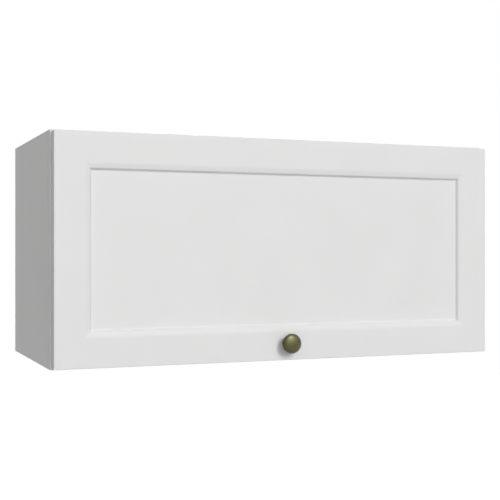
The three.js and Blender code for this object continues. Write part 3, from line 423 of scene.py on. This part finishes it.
def pressed_chips():
    """Colour and Height of sawn chipboard. The cells of a Voronoi pattern, drawn out along x, take browns
    half at random and half by a noise, and the height falls off from each cell's middle."""
    tree, given, out = effect("pressed chips", [("Vector", "Vector", None), ("Scale", "Float", 420.0),
                                                ("Low", "Color", None), ("High", "Color", None)],
                              [("Color", "Color"), ("Height", "Float")])
    cloud = noise(tree, given["Vector"], 500.0, 2.0)
    drawn = add(tree, "VectorMath", {"operation": "MULTIPLY"}, {0: given["Vector"], 1: (0.45, 1.0, 1.0)})
    cells = add(tree, "TexVoronoi", {"feature": "F1"}, {"Vector": drawn.outputs[0], "Scale": given["Scale"]})
    tint = add(tree, "SeparateColor", None, {0: cells.outputs["Color"]}).outputs[0]
    shade = sums(tree, "MULTIPLY_ADD", cloud, 0.5, sums(tree, "MULTIPLY", tint, 0.5))
    tree.links.new(mixed(tree, shade, given["Low"], given["High"]), out["Color"])
    tree.links.new(sums(tree, "SUBTRACT", 1.0, cells.outputs["Distance"]), out["Height"])
    return tree


def round_mask():
    """Mask = 1 within the inner radius of an axis along y through a place, 0 beyond the outer radius."""
    tree, given, out = effect("round mask", [("Vector", "Vector", None), ("Middle", "Vector", (0, 0, 0)),
                                             ("Inner", "Float", 0.01), ("Outer", "Float", 0.016)],
                              [("Mask", "Float")])
    away = add(tree, "VectorMath", {"operation": "SUBTRACT"}, {0: given["Vector"], 1: given["Middle"]})
    flat = add(tree, "VectorMath", {"operation": "MULTIPLY"}, {0: away.outputs[0], 1: (1.0, 0.0, 1.0)})
    reach = add(tree, "VectorMath", {"operation": "LENGTH"}, {0: flat.outputs[0]}).outputs["Value"]
    mask = add(tree, "MapRange", {"clamp": True, "interpolation_type": "SMOOTHSTEP"},
               {"Value": reach, "From Min": given["Inner"], "From Max": given["Outer"],
                "To Min": 1.0, "To Max": 0.0})
    tree.links.new(mask.outputs[0], out["Mask"])
    return tree


RELIEF, DRIFT, RUBBING, LINES = surface_relief(), tone_drift(), rubbing(), drawn_lines()
BEHIND, JOINT, CHIPS, ROUND_MASK = behind_plane(), edge_joint(), pressed_chips(), round_mask()


def started(name, **values):
    """A new material: its tree, its Principled shader with the constant values, and Object coordinates."""
    made = bpy.data.materials.new(name)
    made.use_nodes = True
    tree = made.node_tree
    shader = next(n for n in tree.nodes if n.type == "BSDF_PRINCIPLED")
    for label, value in values.items():
        shader.inputs[label.replace("_", " ")].default_value = value
    return made, tree, shader, add(tree, "TexCoord").outputs["Object"]


def link(tree, shader, **wires):
    """Wires values into the Principled shader's sockets."""
    for label, value in wires.items():
        tree.links.new(value, shader.inputs[label.replace("_", " ")])


def bumped(tree, height, depth):
    """The normal of a surface raised by height x depth, in metres."""
    return add(tree, "Bump", None, {"Height": height, "Distance": depth, "Strength": 1.0}).outputs["Normal"]


def white_foil():
    """Satin foil pressed over fibreboard: a slight drift of tone, a fine skin and faint rub marks."""
    made, tree, shader, at = started("satin white foil", Specular_IOR_Level=0.18)
    tone = placed(tree, DRIFT, {"Vector": at, "Scale": 9.0, "Low": (0.781, 0.781, 0.778, 1),
                                "High": (0.796, 0.796, 0.794, 1)})
    marks = placed(tree, RUBBING, {"Vector": at, "Stretch": (1.0, 1.0, 0.35), "Scale": 35.0, "Level": 0.58})
    skin = placed(tree, RELIEF, {"Vector": at, "Fine": 1400.0, "Broad": 160.0, "Share": 1.6})
    link(tree, shader, Base_Color=tone["Color"], Normal=bumped(tree, skin["Height"], 0.00003),
         Roughness=spread(tree, marks["Mask"], 0.0, 1.0, 0.42, 0.36))
    return made


def white_laminate():
    """Matt melamine over chipboard: pearl skin, a joint behind the front edge band, and the board's
    chips where the rear edges are left sawn."""
    made, tree, shader, at = started("matt white laminate", Specular_IOR_Level=0.3)
    tone = placed(tree, DRIFT, {"Vector": at, "Scale": 7.0, "Low": (0.775, 0.775, 0.768, 1),
                                "High": (0.79, 0.79, 0.785, 1)})
    joint = placed(tree, JOINT, {"Vector": at, "Plane": BAND_JOINT, "Half width": 0.00018})
    rear = placed(tree, BEHIND, {"Vector": at, "Plane": SAWN_REAR, "Softness": 0.00008})
    chips = placed(tree, CHIPS, {"Vector": at, "Scale": 520.0, "Low": (0.20, 0.125, 0.065, 1),
                                 "High": (0.62, 0.47, 0.30, 1)})
    faced = mixed(tree, joint["Mask"], tone["Color"], (0.52, 0.51, 0.485, 1))
    skin = placed(tree, RELIEF, {"Vector": at, "Fine": 2200.0, "Broad": 420.0, "Share": 0.8})
    height = add(tree, "Mix", {"data_type": "FLOAT"},
                 {0: rear["Mask"], 2: skin["Height"], 3: chips["Height"]})
    depth = spread(tree, rear["Mask"], 0.0, 1.0, 0.12, 1.0)
    raised = sums(tree, "MULTIPLY", height.outputs[0], depth)
    marks = placed(tree, RUBBING, {"Vector": at, "Stretch": (1.0, 0.3, 1.0), "Scale": 30.0, "Level": 0.6})
    sheen = spread(tree, marks["Mask"], 0.0, 1.0, 0.52, 0.46)
    rough = add(tree, "Mix", {"data_type": "FLOAT"}, {0: rear["Mask"], 2: sheen, 3: 0.85})
    link(tree, shader, Base_Color=mixed(tree, rear["Mask"], faced, chips["Color"]),
         Roughness=rough.outputs[0], Normal=bumped(tree, raised, 0.00022))
    return made


def hardboard():
    """Thin fibreboard: white paint on the room side, bare brown fibre with a wire-mesh print behind."""
    made, tree, shader, at = started("white-faced hardboard", Specular_IOR_Level=0.25)
    tone = placed(tree, DRIFT, {"Vector": at, "Scale": 14.0, "Low": (0.75, 0.745, 0.725, 1),
                                "High": (0.775, 0.77, 0.755, 1)})
    fibre = placed(tree, DRIFT, {"Vector": at, "Scale": 260.0, "Low": (0.23, 0.145, 0.085, 1),
                                 "High": (0.37, 0.25, 0.155, 1)})
    cloud = placed(tree, DRIFT, {"Vector": at, "Scale": 18.0, "Low": (0.86, 0.86, 0.86, 1),
                                 "High": (1.0, 1.0, 1.0, 1)})
    bare = mixed(tree, 1.0, fibre["Color"], cloud["Color"], "MULTIPLY")
    rear = placed(tree, BEHIND, {"Vector": at, "Plane": BARE_BACK, "Softness": 0.0002})
    skin = placed(tree, RELIEF, {"Vector": at, "Fine": 1200.0, "Broad": 200.0, "Share": 1.0})
    axes = add(tree, "SeparateXYZ", None, {0: at})
    waves = [sums(tree, "SINE", sums(tree, "MULTIPLY", axes.outputs[k], MESH_PRINT)) for k in ("X", "Z")]
    mesh_print = sums(tree, "MULTIPLY", waves[0], waves[1])
    height = add(tree, "Mix", {"data_type": "FLOAT"}, {0: rear["Mask"], 2: skin["Height"], 3: mesh_print})
    link(tree, shader, Base_Color=mixed(tree, rear["Mask"], tone["Color"], bare),
         Roughness=spread(tree, rear["Mask"], 0.0, 1.0, 0.6, 0.82),
         Normal=bumped(tree, height.outputs[0], 0.00006))
    return made


def antique_brass():
    """Brass under an olive patina and a dull lacquer: mottled on its face, darker towards its rim, which is
    patina and painted shade.
    """
    made, tree, shader, at = started("antique brass", Metallic=1.0, Coat_Weight=0.55, Coat_Roughness=0.3)
    worn = placed(tree, DRIFT, {"Vector": at, "Scale": 190.0, "Low": (0.064, 0.058, 0.019, 1),
                                "High": (0.083, 0.077, 0.029, 1)})
    face = placed(tree, ROUND_MASK, {"Vector": at, "Middle": (0.0, 0.0, KNOB_HEIGHT * MM),
                                     "Inner": 0.0119, "Outer": 0.0134})
    grain = placed(tree, RELIEF, {"Vector": at, "Fine": 1800.0, "Broad": 380.0, "Share": 0.9})
    # the rim band beyond the mask's inner radius takes this dark brown: patina, and painted shade for the
    # rim's dark reflection
    link(tree, shader, Base_Color=mixed(tree, face["Mask"], (0.052, 0.050, 0.016, 1), worn["Color"]),
         Roughness=spread(tree, worn["Mask"], 0.0, 1.0, 0.56, 0.48),
         Normal=bumped(tree, grain["Height"], 0.00003))
    return made


def plated(name, low, high, rough_low, rough_high, stretch, line_depth, drift=120.0, fine=900.0):
    """Plated steel: rolled lines along one way under the plating, with a drift of tone and gloss."""
    made, tree, shader, at = started(name, Metallic=1.0)
    tone = placed(tree, DRIFT, {"Vector": at, "Scale": drift, "Low": low, "High": high})
    lines = placed(tree, LINES, {"Vector": at, "Stretch": stretch, "Scale": fine})
    link(tree, shader, Base_Color=tone["Color"], Normal=bumped(tree, lines["Height"], line_depth),
         Roughness=spread(tree, lines["Mask"], 0.0, 1.0, rough_low, rough_high))
    return made


def cast_zinc():
    """Die-cast cams and bolts: a dull, slightly pitted skin."""
    made, tree, shader, at = started("die-cast zinc", Metallic=1.0)
    tone = placed(tree, DRIFT, {"Vector": at, "Scale": 420.0, "Low": (0.42, 0.43, 0.44, 1),
                                "High": (0.56, 0.565, 0.57, 1)})
    skin = placed(tree, RELIEF, {"Vector": at, "Fine": 3000.0, "Broad": 700.0, "Share": 0.7})
    link(tree, shader, Base_Color=tone["Color"], Normal=bumped(tree, skin["Height"], 0.00006),
         Roughness=spread(tree, tone["Mask"], 0.0, 1.0, 0.5, 0.36))
    return made


def enamel():
    """Light grey enamel baked on the strut's tube, with a little orange peel."""
    made, tree, shader, at = started("grey enamel", Metallic=0.15, Coat_Roughness=0.12)
    tone = placed(tree, DRIFT, {"Vector": at, "Scale": 45.0, "Low": (0.45, 0.46, 0.47, 1),
                                "High": (0.50, 0.51, 0.52, 1)})
    peel = placed(tree, RELIEF, {"Vector": at, "Fine": 900.0, "Broad": 260.0, "Share": 1.4})
    marks = placed(tree, RUBBING, {"Vector": at, "Stretch": (1.0, 1.0, 0.2), "Scale": 160.0, "Level": 0.56})
    link(tree, shader, Base_Color=tone["Color"], Normal=bumped(tree, peel["Height"], 0.00004),
         Roughness=spread(tree, marks["Mask"], 0.0, 1.0, 0.30, 0.38),
         Coat_Weight=spread(tree, marks["Mask"], 0.0, 1.0, 0.5, 0.3))
    return made


def moulded(name, low, high, rough_low, rough_high, fine=1600.0, **values):
    """Moulded plastic: spark-eroded mould skin, flow marks in its tone and gloss."""
    made, tree, shader, at = started(name, **values)
    tone = placed(tree, DRIFT, {"Vector": at, "Scale": 70.0, "Low": low, "High": high})
    skin = placed(tree, RELIEF, {"Vector": at, "Fine": fine, "Broad": 220.0, "Share": 0.6})
    link(tree, shader, Base_Color=tone["Color"], Normal=bumped(tree, skin["Height"], 0.00005),
         Roughness=spread(tree, tone["Mask"], 0.0, 1.0, rough_low, rough_high))
    return made


FINISH = {
    "door_foil": white_foil(),
    "carcass_laminate": white_laminate(),
    "back_board": hardboard(),
    "antique_brass": antique_brass(),
    "nickel_steel": plated("nickel-plated steel", (0.60, 0.595, 0.58, 1), (0.68, 0.675, 0.66, 1),
                           0.26, 0.33, (1.0, 0.05, 1.0), 0.000002, 60.0, 3200.0),
    "zinc": plated("bright zinc plate", (0.55, 0.56, 0.575, 1), (0.66, 0.67, 0.68, 1),
                   0.28, 0.44, (1.0, 1.0, 0.08), 0.00003),
    "painted_tube": enamel(),
    "chrome_rod": plated("chromed rod", (0.70, 0.71, 0.72, 1), (0.78, 0.785, 0.79, 1),
                         0.08, 0.16, (0.3, 0.3, 1.0), 0.000006, 60.0),
    "grey_nylon": moulded("grey nylon", (0.24, 0.25, 0.26, 1), (0.29, 0.30, 0.31, 1), 0.42, 0.55),
    "white_plastic": moulded("white moulded plastic", (0.73, 0.73, 0.72, 1), (0.77, 0.77, 0.76, 1),
                             0.34, 0.46),
    "clear_rubber": moulded("clear soft pad", (0.62, 0.64, 0.63, 1), (0.68, 0.70, 0.69, 1), 0.22, 0.36,
                            900.0, Transmission_Weight=0.55, IOR=1.45),
}
CAST_ZINC = cast_zinc()


# -------------------------------------------------------------------- door

def drill(name, radius, length, at, columns):
    """A cylinder that cuts a round hole from a place towards the back."""
    return solid(name, turned([(0, 0), (radius, 0), (radius, length), (0, length)], at, (0, 1, 0), columns))


def door_leaf():
    """A loft of nested rectangles, each drawn in by an inset and set at a depth: the back with its small
    arris, the edge, the front arris, the flat frame, the long slope of the moulding, its roll, which is
    part of an ellipse, the hollow below it and the field. The hollow is (1-t)^2 A + 2t(1-t) V + t^2 C from
    the roll's end A to the field's start C, with V where the roll's slope there would reach the field. The
    outer rectangles have round corners of a radius that shrinks to nothing."""
    quarter = np.linspace(0, ROLL_TURN, 8)[1:]
    roll = np.stack([SLOPE_INSET + ROLL_REACH * np.sin(quarter),
                     SLOPE_DEPTH + ROLL_DROP * (1 - np.cos(quarter))], -1)
    steepness = ROLL_DROP / ROLL_REACH * math.tan(ROLL_TURN)
    corner = np.array([roll[-1, 0] + (FIELD_DEPTH - roll[-1, 1]) / steepness, FIELD_DEPTH])
    foot = np.array([FIELD_INSET, FIELD_DEPTH])
    t = np.linspace(0, 1, 8)[1:, None]
    hollow = (1 - t) ** 2 * roll[-1] + 2 * t * (1 - t) * corner + t ** 2 * foot
    profile = softened([(3, DOOR_BACK), (0, DOOR_BACK), (0, DOOR_FRONT), (FRAME_INSET, DOOR_FRONT),
                        (SLOPE_INSET, SLOPE_DEPTH)], [0.5, 1.5, 2.4], 6)
    profile = np.vstack([profile, roll, hollow, foot + [3, 0]])
    inset, depth = profile[:, 0, None], profile[:, 1, None]
    radius = np.maximum(DOOR_CORNER - CORNER_FADE * inset, 0)
    angle = np.radians(np.linspace(0, 90, 5))
    quadrant = np.radians([0.0, 90.0, 180.0, 270.0])
    turn = (quadrant[:, None] + angle[None, :]).reshape(-1)
    sign_x = np.repeat([1.0, -1.0, -1.0, 1.0], 5)
    sign_z = np.repeat([1.0, 1.0, -1.0, -1.0], 5)
    middle, half_height = (DOOR_TOP + DOOR_BOTTOM) / 2, (DOOR_TOP - DOOR_BOTTOM) / 2
    x = sign_x * (DOOR_HALF_WIDTH - inset - radius) + radius * np.cos(turn)
    z = middle + sign_z * (half_height - inset - radius) + radius * np.sin(turn)
    rings = np.stack([x, np.broadcast_to(depth, x.shape), z], -1)
    leaf = solid("door_leaf", loft(rings))
    tools = [drill(f"bore_{side}", CUP_RADIUS, BORE_LENGTH, (sign * HINGE_PLACE, CUP_FLOOR, CUP_HEIGHT), 64)
             for side, sign in SIDES.items()]
    tools.append(drill("knob_hole", KNOB_HOLE_RADIUS, KNOB_HOLE_LENGTH, (0, DOOR_FRONT - 1, KNOB_HEIGHT), 32))
    carved(leaf, *tools)
    dressed(leaf, FINISH["door_foil"], "door_foil", "door", sharp=28)
    mitres(leaf.data)
    return levelled(leaf)


def mitres(mesh):
    """Keeps the moulding's mitres crisp: an edge is sharp if it runs as far in x as in z and not in y
    alone, which only the four mitres of a frame do."""
    ends = np.zeros(len(mesh.edges) * 2, int)
    mesh.edges.foreach_get("vertices", ends)
    points = np.zeros(len(mesh.vertices) * 3)
    mesh.vertices.foreach_get("co", points)
    run = np.abs(np.diff(points.reshape(-1, 3)[ends.reshape(-1, 2)], axis=1)[:, 0])
    mitre = (np.abs(run[:, 0] - run[:, 2]) < 1e-6) & (run[:, 0] > 2e-5)
    sharp = mesh.attributes.get("sharp_edge") or mesh.attributes.new("sharp_edge", "BOOLEAN", "EDGE")
    kept = np.zeros(len(mesh.edges), bool)
    sharp.data.foreach_get("value", kept)
    sharp.data.foreach_set("value", kept | mitre)


def knob():
    """A turned knob: foot, waist and flare softened, then a head whose height at radius r is that of half
    an ellipsoid, widest + (top - widest) x sqrt(1 - (r/rim)^2); a blind screw hole runs up its axis."""
    rim, widest, top = 16.0, 15.0, 25.0
    stem = softened([(2.1, 0), (10.3, 0), (10.3, 0.35), (8.9, 0.95), (7.0, 1.9), (5.7, 3.6), (5.4, 6),
                     (6.8, 9.6), (10.4, 11.6), (14.4, 12.8), (rim, 14.1), (rim, widest)],
                    [0.1, 0.1, 0.5, 0.7, 0.9, 1.0, 1.2, 1.2, 0.9, 0.7], 5)
    turn = np.linspace(0, math.pi / 2, 29)
    head = np.stack([rim * np.cos(turn), widest + (top - widest) * np.sin(turn)], -1)
    profile = np.vstack([[(0, 10), (2.1, 10)], stem, head[1:]])
    return dressed(solid("knob_turned", turned(profile, (0, DOOR_FRONT, KNOB_HEIGHT), (0, -1, 0), 96)),
                   FINISH["antique_brass"], "antique_brass", "knob", sharp=60)


door_leaf()
knob()


# ----------------------------------------------------------------- fastenings

def cross(width, length, depth, soft):
    """A cross recess. At (a, b) it is as deep as depth x how far inside either arm the point is, with
    walls as steep as soft allows, and shallower towards the arms' ends."""
    def dent(a, b, r):
        near, far = np.minimum(abs(a), abs(b)), np.maximum(abs(a), abs(b))
        inside = np.clip((width - near) / soft + 0.5, 0, 1) * np.clip((length - far) / soft + 0.5, 0, 1)
        return depth * inside * (1 - 0.45 * np.clip(far / length, 0, 1))
    return dent


def screw(name, at, axis, head=3.4, height=1.5, shank=1.7, length=9.0):
    """A pan-head screw: over radius r its head is height x (1 - 0.4 (r/head)^2) high, with a cross recess,
    a rounded rim, and below it a shank that ends in a short point."""
    share = np.linspace(0, 0.93, 22)
    top = np.stack([head * share, height * (1 - 0.4 * share ** 2)], -1)
    edge = softened([top[-1], (head, height * 0.58), (head, 0), (shank, 0), (shank, 0.8 - length),
                     (shank * 0.55, -length)], [0.25, 0.15, 0.1, 0.2], 4)
    profile = np.vstack([top, edge[1:], [(0, -length)]])
    recess = cross(head * 0.13, head * 0.56, height * 0.8, head * 0.05)
    return solid(name, turned(profile, at, axis, 64, lambda a, b, r: recess(a, b, r) * (r < head * 0.9)))


def replaced_screw(node, axis, head_height, shank=None):
    """A screw in the place of a node: its head's radius, its length and its middle are the node's."""
    low, high = extent(node)
    axis = np.array(axis, float)
    along = int(np.argmax(abs(axis)))
    middle, size = (low + high) / 2, high - low
    outer = high if axis[along] > 0 else low
    at = middle.copy()
    at[along] = outer[along] - axis[along] * head_height
    radius = max(size[k] for k in range(3) if k != along) / 2
    length = size[along] - head_height
    piece = screw(f"{node}_turned", at, axis, radius, head_height, shank or radius * 0.55, length)
    return dressed(piece, FINISH["zinc"], "zinc", node)


def added_screw(name, at, axis, body):
    """A screw that the frame leaves to this file, holding a fitting that rides on the body."""
    return dressed(screw(name, at, axis), FINISH["zinc"], "zinc", body=body)


def mirrored(sign, place, outwards=0, up=0):
    """A place on one side of the cabinet, moved outwards along x and up along z."""
    return (sign * (place[0] + outwards), place[1], place[2] + up)


replaced_screw("knob_screw", (0, 1, 0), 2.4)
for side, sign in SIDES.items():
    replaced_screw(f"hinge_adjusting_screw_{side}", (0, 0, -1), 1.8)
    replaced_screw(f"hinge_fixing_screw_{side}", (0, 0, -1), 1.8)
    replaced_screw(f"hanger_height_screw_{side}", (0, -1, 0), 2.0, 2.6)
    replaced_screw(f"hanger_depth_screw_{side}", (0, -1, 0), 2.0, 2.6)
    for end, step in (("inner", -1), ("outer", 1)):
        added_screw(f"hinge_plate_screw_{end}_{side}", mirrored(sign, PLATE_SCREWS, step * PLATE_STEP),
                    (0, 0, -1), "cabinet")
        added_screw(f"hinge_cup_screw_{end}_{side}", mirrored(sign, CUP_SCREWS, step * CUP_STEP),
                    (0, 1, 0), "door")
    for end, step in (("lower", -1), ("upper", 1)):
        added_screw(f"strut_side_screw_{end}_{side}", mirrored(sign, SIDE_SCREWS, up=step * BRACKET_STEP),
                    (-sign, 0, 0), "cabinet")
        added_screw(f"strut_door_screw_{end}_{side}", mirrored(sign, DOOR_SCREWS, up=step * BRACKET_STEP),
                    (0, 1, 0), "door")


def cam(node):
    """A round cam: a flat face on top with a ring groove, a cross recess and a small mark at the rim that
    shows which way it is turned."""
    low, high = extent(node)
    radius, height = (high[0] - low[0]) / 2, high[2] - low[2]
    share = np.linspace(0, 0.95, 34)
    top = np.stack([radius * share, np.zeros(34)], -1)
    side = softened([top[-1], (radius, 0), (radius, -height), (0, -height)], [0.3, 0.4], 4)
    recess = cross(0.85, 4.3, 2.4, 0.3)

    def dent(a, b, r):
        ring = 0.35 * np.clip(1 - abs(r - radius * 0.8) / 0.5, 0, 1)
        mark = 0.6 * (b > 0) * np.clip((0.7 - abs(a)) / 0.3, 0, 1) * np.clip((r - radius * 0.82) / 0.2, 0, 1)
        return (recess(a, b, r) + ring + mark * (r < radius * 0.94)) * (r < radius * 0.96)

    at = [(low[0] + high[0]) / 2, (low[1] + high[1]) / 2, high[2]]
    piece = solid(f"{node}_turned", turned(np.vstack([top, side[1:]]), at, (0, 0, 1), 72, dent))
    return dressed(piece, CAST_ZINC, "zinc", node)


for node in [name for name in nodes if name.startswith("cam_") and not name.startswith("cam_bolt")]:
    cam(node)


def pad(side):
    """A soft pad: a low dome softened at its rim, stuck to the door's back."""
    low, high = extent(f"bumper_{side}")
    radius, height = (high[0] - low[0]) / 2, high[1] - low[1]
    profile = softened([(0, 0), (radius, 0), (radius, height * 0.45), (radius * 0.72, height), (0, height)],
                       [0.05, 0.5, 1.4], 6)
    at = [(low[0] + high[0]) / 2, low[1], (low[2] + high[2]) / 2]
    return dressed(solid(f"pad_{side}", turned(profile, at, (0, 1, 0), 48)), FINISH["clear_rubber"],
                   "clear_rubber", f"bumper_{side}")


# --------------------------------------------------------------------- struts

def on_strut(sign, along):
    """The place on a closed strut's middle line that lies along millimetres from its lower pivot."""
    return np.array([sign * STRUT_PLACE, *STRUT_FOOT]) + STRUT_WAY * along


def socket(node, at, way, outwards, open_pocket):
    """A moulded ball socket: a round eye across the strut, open on one side by the pocket that takes the
    ball or else solid, and a shank with a grip ring that runs the given way along the strut."""
    start = (POCKET_RADIUS if open_pocket else 0, SOCKET_REACH)
    quarter = np.linspace(0, math.pi / 2, 9)
    pocket = np.stack([POCKET_RADIUS * np.sin(quarter), -POCKET_RADIUS * np.cos(quarter)], -1)
    eye = softened([start, (SOCKET_RADIUS, SOCKET_REACH), (SOCKET_RADIUS, 3.6), (6.5, 3.2), (6.5, 1.2),
                    (SOCKET_RADIUS, 0.8), (SOCKET_RADIUS, -SOCKET_REACH), (0, -SOCKET_REACH)],
                   [0.5, 0.3, 0.3, 0.3, 0.3, 1.2], 5)
    eye = turned(np.vstack([pocket if open_pocket else [start], eye]), at, (outwards, 0, 0), 56)
    shank = softened([(0, 3), (4.4, 3), (5, 7.2), (5, 9), (4.5, 9.6), (5, 10.2), (5, 14), (0, 14)],
                     [0.3, 0.5, 0.2, 0.2, 0.2, 0.6], 5)
    shank = turned(shank, at, way, 48)
    dressed(solid(f"{node}_socket", eye, shank), FINISH["grey_nylon"], "grey_nylon", node, sharp=40)


def strut(side, sign):
    """A gas strut: a plated rod and its piston, an enamelled tube drawn in at the rod's end over a rolled
    groove and closed at the other, and a moulded ball socket at either end."""
    foot = on_strut(sign, 0)
    mouth = ROD_RADIUS + ROD_CLEARANCE
    tube = softened([(TUBE_BORE, TUBE_END - 5), (TUBE_BORE, TUBE_START + 8), (mouth, TUBE_START + 8),
                     (mouth, TUBE_START), (5.9, TUBE_START), (TUBE_RADIUS, TUBE_START + 2.4),
                     (TUBE_RADIUS, TUBE_START + 9), (GROOVE_RADIUS, TUBE_START + 10),
                     (GROOVE_RADIUS, TUBE_START + 11), (TUBE_RADIUS, TUBE_START + 12),
                     (TUBE_RADIUS, TUBE_END - 2.2), (5.6, TUBE_END)],
                    [0.2, 0.2, 0.3, 0.8, 1.4, 0.4, 0.4, 0.4, 0.4, 1.4], 5)
    tube = np.vstack([[(0, TUBE_END - 5)], tube, [(0, TUBE_END)]])
    dressed(solid(f"strut_tube_{side}", turned(tube, foot, STRUT_WAY, 64)), FINISH["painted_tube"],
            "painted_tube", f"strut_cylinder_{side}", sharp=40)
    rod = softened([(0, ROD_START), (ROD_RADIUS, ROD_START), (ROD_RADIUS, PISTON_START),
                    (PISTON_RADIUS, PISTON_START), (PISTON_RADIUS, PISTON_END), (0, PISTON_END)],
                   [0.2, 0.1, 0.3, 0.3], 4)
    dressed(solid(f"strut_piston_rod_{side}", turned(rod, foot, STRUT_WAY, 48)), FINISH["chrome_rod"],
            "chrome_rod", f"strut_rod_{side}")
    socket(f"strut_rod_end_{side}", foot, STRUT_WAY, sign, True)
    socket(f"strut_cylinder_end_{side}", on_strut(sign, STRUT_LENGTH), -STRUT_WAY, sign, False)


for side, sign in SIDES.items():
    pad(side)
    strut(side, sign)


# ------------------------------------------------- panels and pressed fittings

# how far the edges of each kind of piece are rounded, in millimetres
EDGES = {"side_panel": 0.45, "top_panel": 0.45, "bottom_panel": 0.45, "back_panel": 0.2,
         "hanger_housing": 0.7, "hanger_hook": 0.4, "hinge_plate": 0.35, "hinge_arm": 0.3, "hinge_cup": 0.25,
         "hinge_outer_link": 0.3, "hinge_inner_link": 0.3, "strut_side_bracket": 0.4,
         "strut_door_bracket": 0.4}
slot_of = {part["node"]: part["material_slot"] for part in frame["record"]["subparts"]}
for node in sorted(nodes):
    width = next((EDGES[start] for start in EDGES if node.startswith(start)), None)
    if width is not None:
        dressed(copied(node, f"{node}_edged", width), FINISH[slot_of[node]], slot_of[node], node)
# the frame's own meshes take their finishes too, for those that no piece above stands for
for node, piece in nodes.items():
    piece.data.materials.clear()
    piece.data.materials.append(CAST_ZINC if node.startswith("cam_") else FINISH[slot_of[node]])


# --------------------------------------------------------------------- stage

def seen(tree):
    """1 for a ray of the camera, of gloss or through a clear part, and 0 for any other."""
    rays = add(tree, "LightPath").outputs
    direct = sums(tree, "MAXIMUM", rays["Is Camera Ray"], rays["Is Glossy Ray"])
    return sums(tree, "MAXIMUM", direct, rays["Is Transmission Ray"])


def pale_stage():
    """A floor well below the hung cabinet, and a world: both look white to the camera, to gloss and
    through clear parts, and both give the room's even light."""
    corners = [(-1, -1), (1, -1), (1, 1), (-1, 1)]
    floor = solid("pale_floor", loft([[(FLOOR_REACH * x, FLOOR_REACH * y, level) for x, y in corners]
                                      for level in (FLOOR_LEVEL - FLOOR_THICKNESS, FLOOR_LEVEL)]))
    paint = bpy.data.materials.new("pale floor paint")
    paint.use_nodes = True
    tree = paint.node_tree
    tree.nodes.clear()
    glow = sums(tree, "MULTIPLY", seen(tree), FLOOR_GLOW)
    matt = add(tree, "BsdfDiffuse", None, {"Color": (FLOOR_TONE, FLOOR_TONE, FLOOR_TONE, 1)})
    lit = add(tree, "Emission", None, {"Color": (1, 1, 1, 1), "Strength": glow})
    both = add(tree, "AddShader", None, {0: matt.outputs[0], 1: lit.outputs[0]})
    out = add(tree, "OutputMaterial")
    tree.links.new(both.outputs[0], out.inputs["Surface"])
    floor.data.materials.append(paint)
    world = bpy.data.worlds.new("studio")
    scene.world = world
    world.use_nodes = True
    tree = world.node_tree
    tree.nodes.clear()
    level = spread(tree, seen(tree), 0.0, 1.0, ROOM_LIGHT, 1.0)
    sky = add(tree, "Background", None, {"Color": (1, 1, 1, 1), "Strength": level})
    out = add(tree, "OutputWorld")
    tree.links.new(sky.outputs[0], out.inputs["Surface"])


def soft_light(name, way, strength, width, in_gloss):
    """A sun that shines at the cabinet from one way, seen by gloss alone or by matt surfaces alone."""
    lamp = bpy.data.lights.new(name, "SUN")
    lamp.energy, lamp.angle = strength, math.radians(width)
    holder = bpy.data.objects.new(name.replace(" ", "_"), lamp)
    scene.collection.objects.link(holder)
    holder.location = Vector(way) * 3
    holder.rotation_euler = (-holder.location).to_track_quat("-Z", "Y").to_euler()
    holder.visible_glossy, holder.visible_diffuse = in_gloss, not in_gloss


pale_stage()
for light in LIGHTS:
    soft_light(*light)

camera = bpy.data.objects.new("camera", bpy.data.cameras.new("camera"))
scene.collection.objects.link(camera)
camera.location = CAMERA_PLACE
camera.rotation_euler = (math.radians(90), 0, math.radians(CAMERA_TURN))
camera.data.lens, camera.data.sensor_width = CAMERA_LENS, 36
scene.camera = camera
scene.view_settings.view_transform = "Standard"
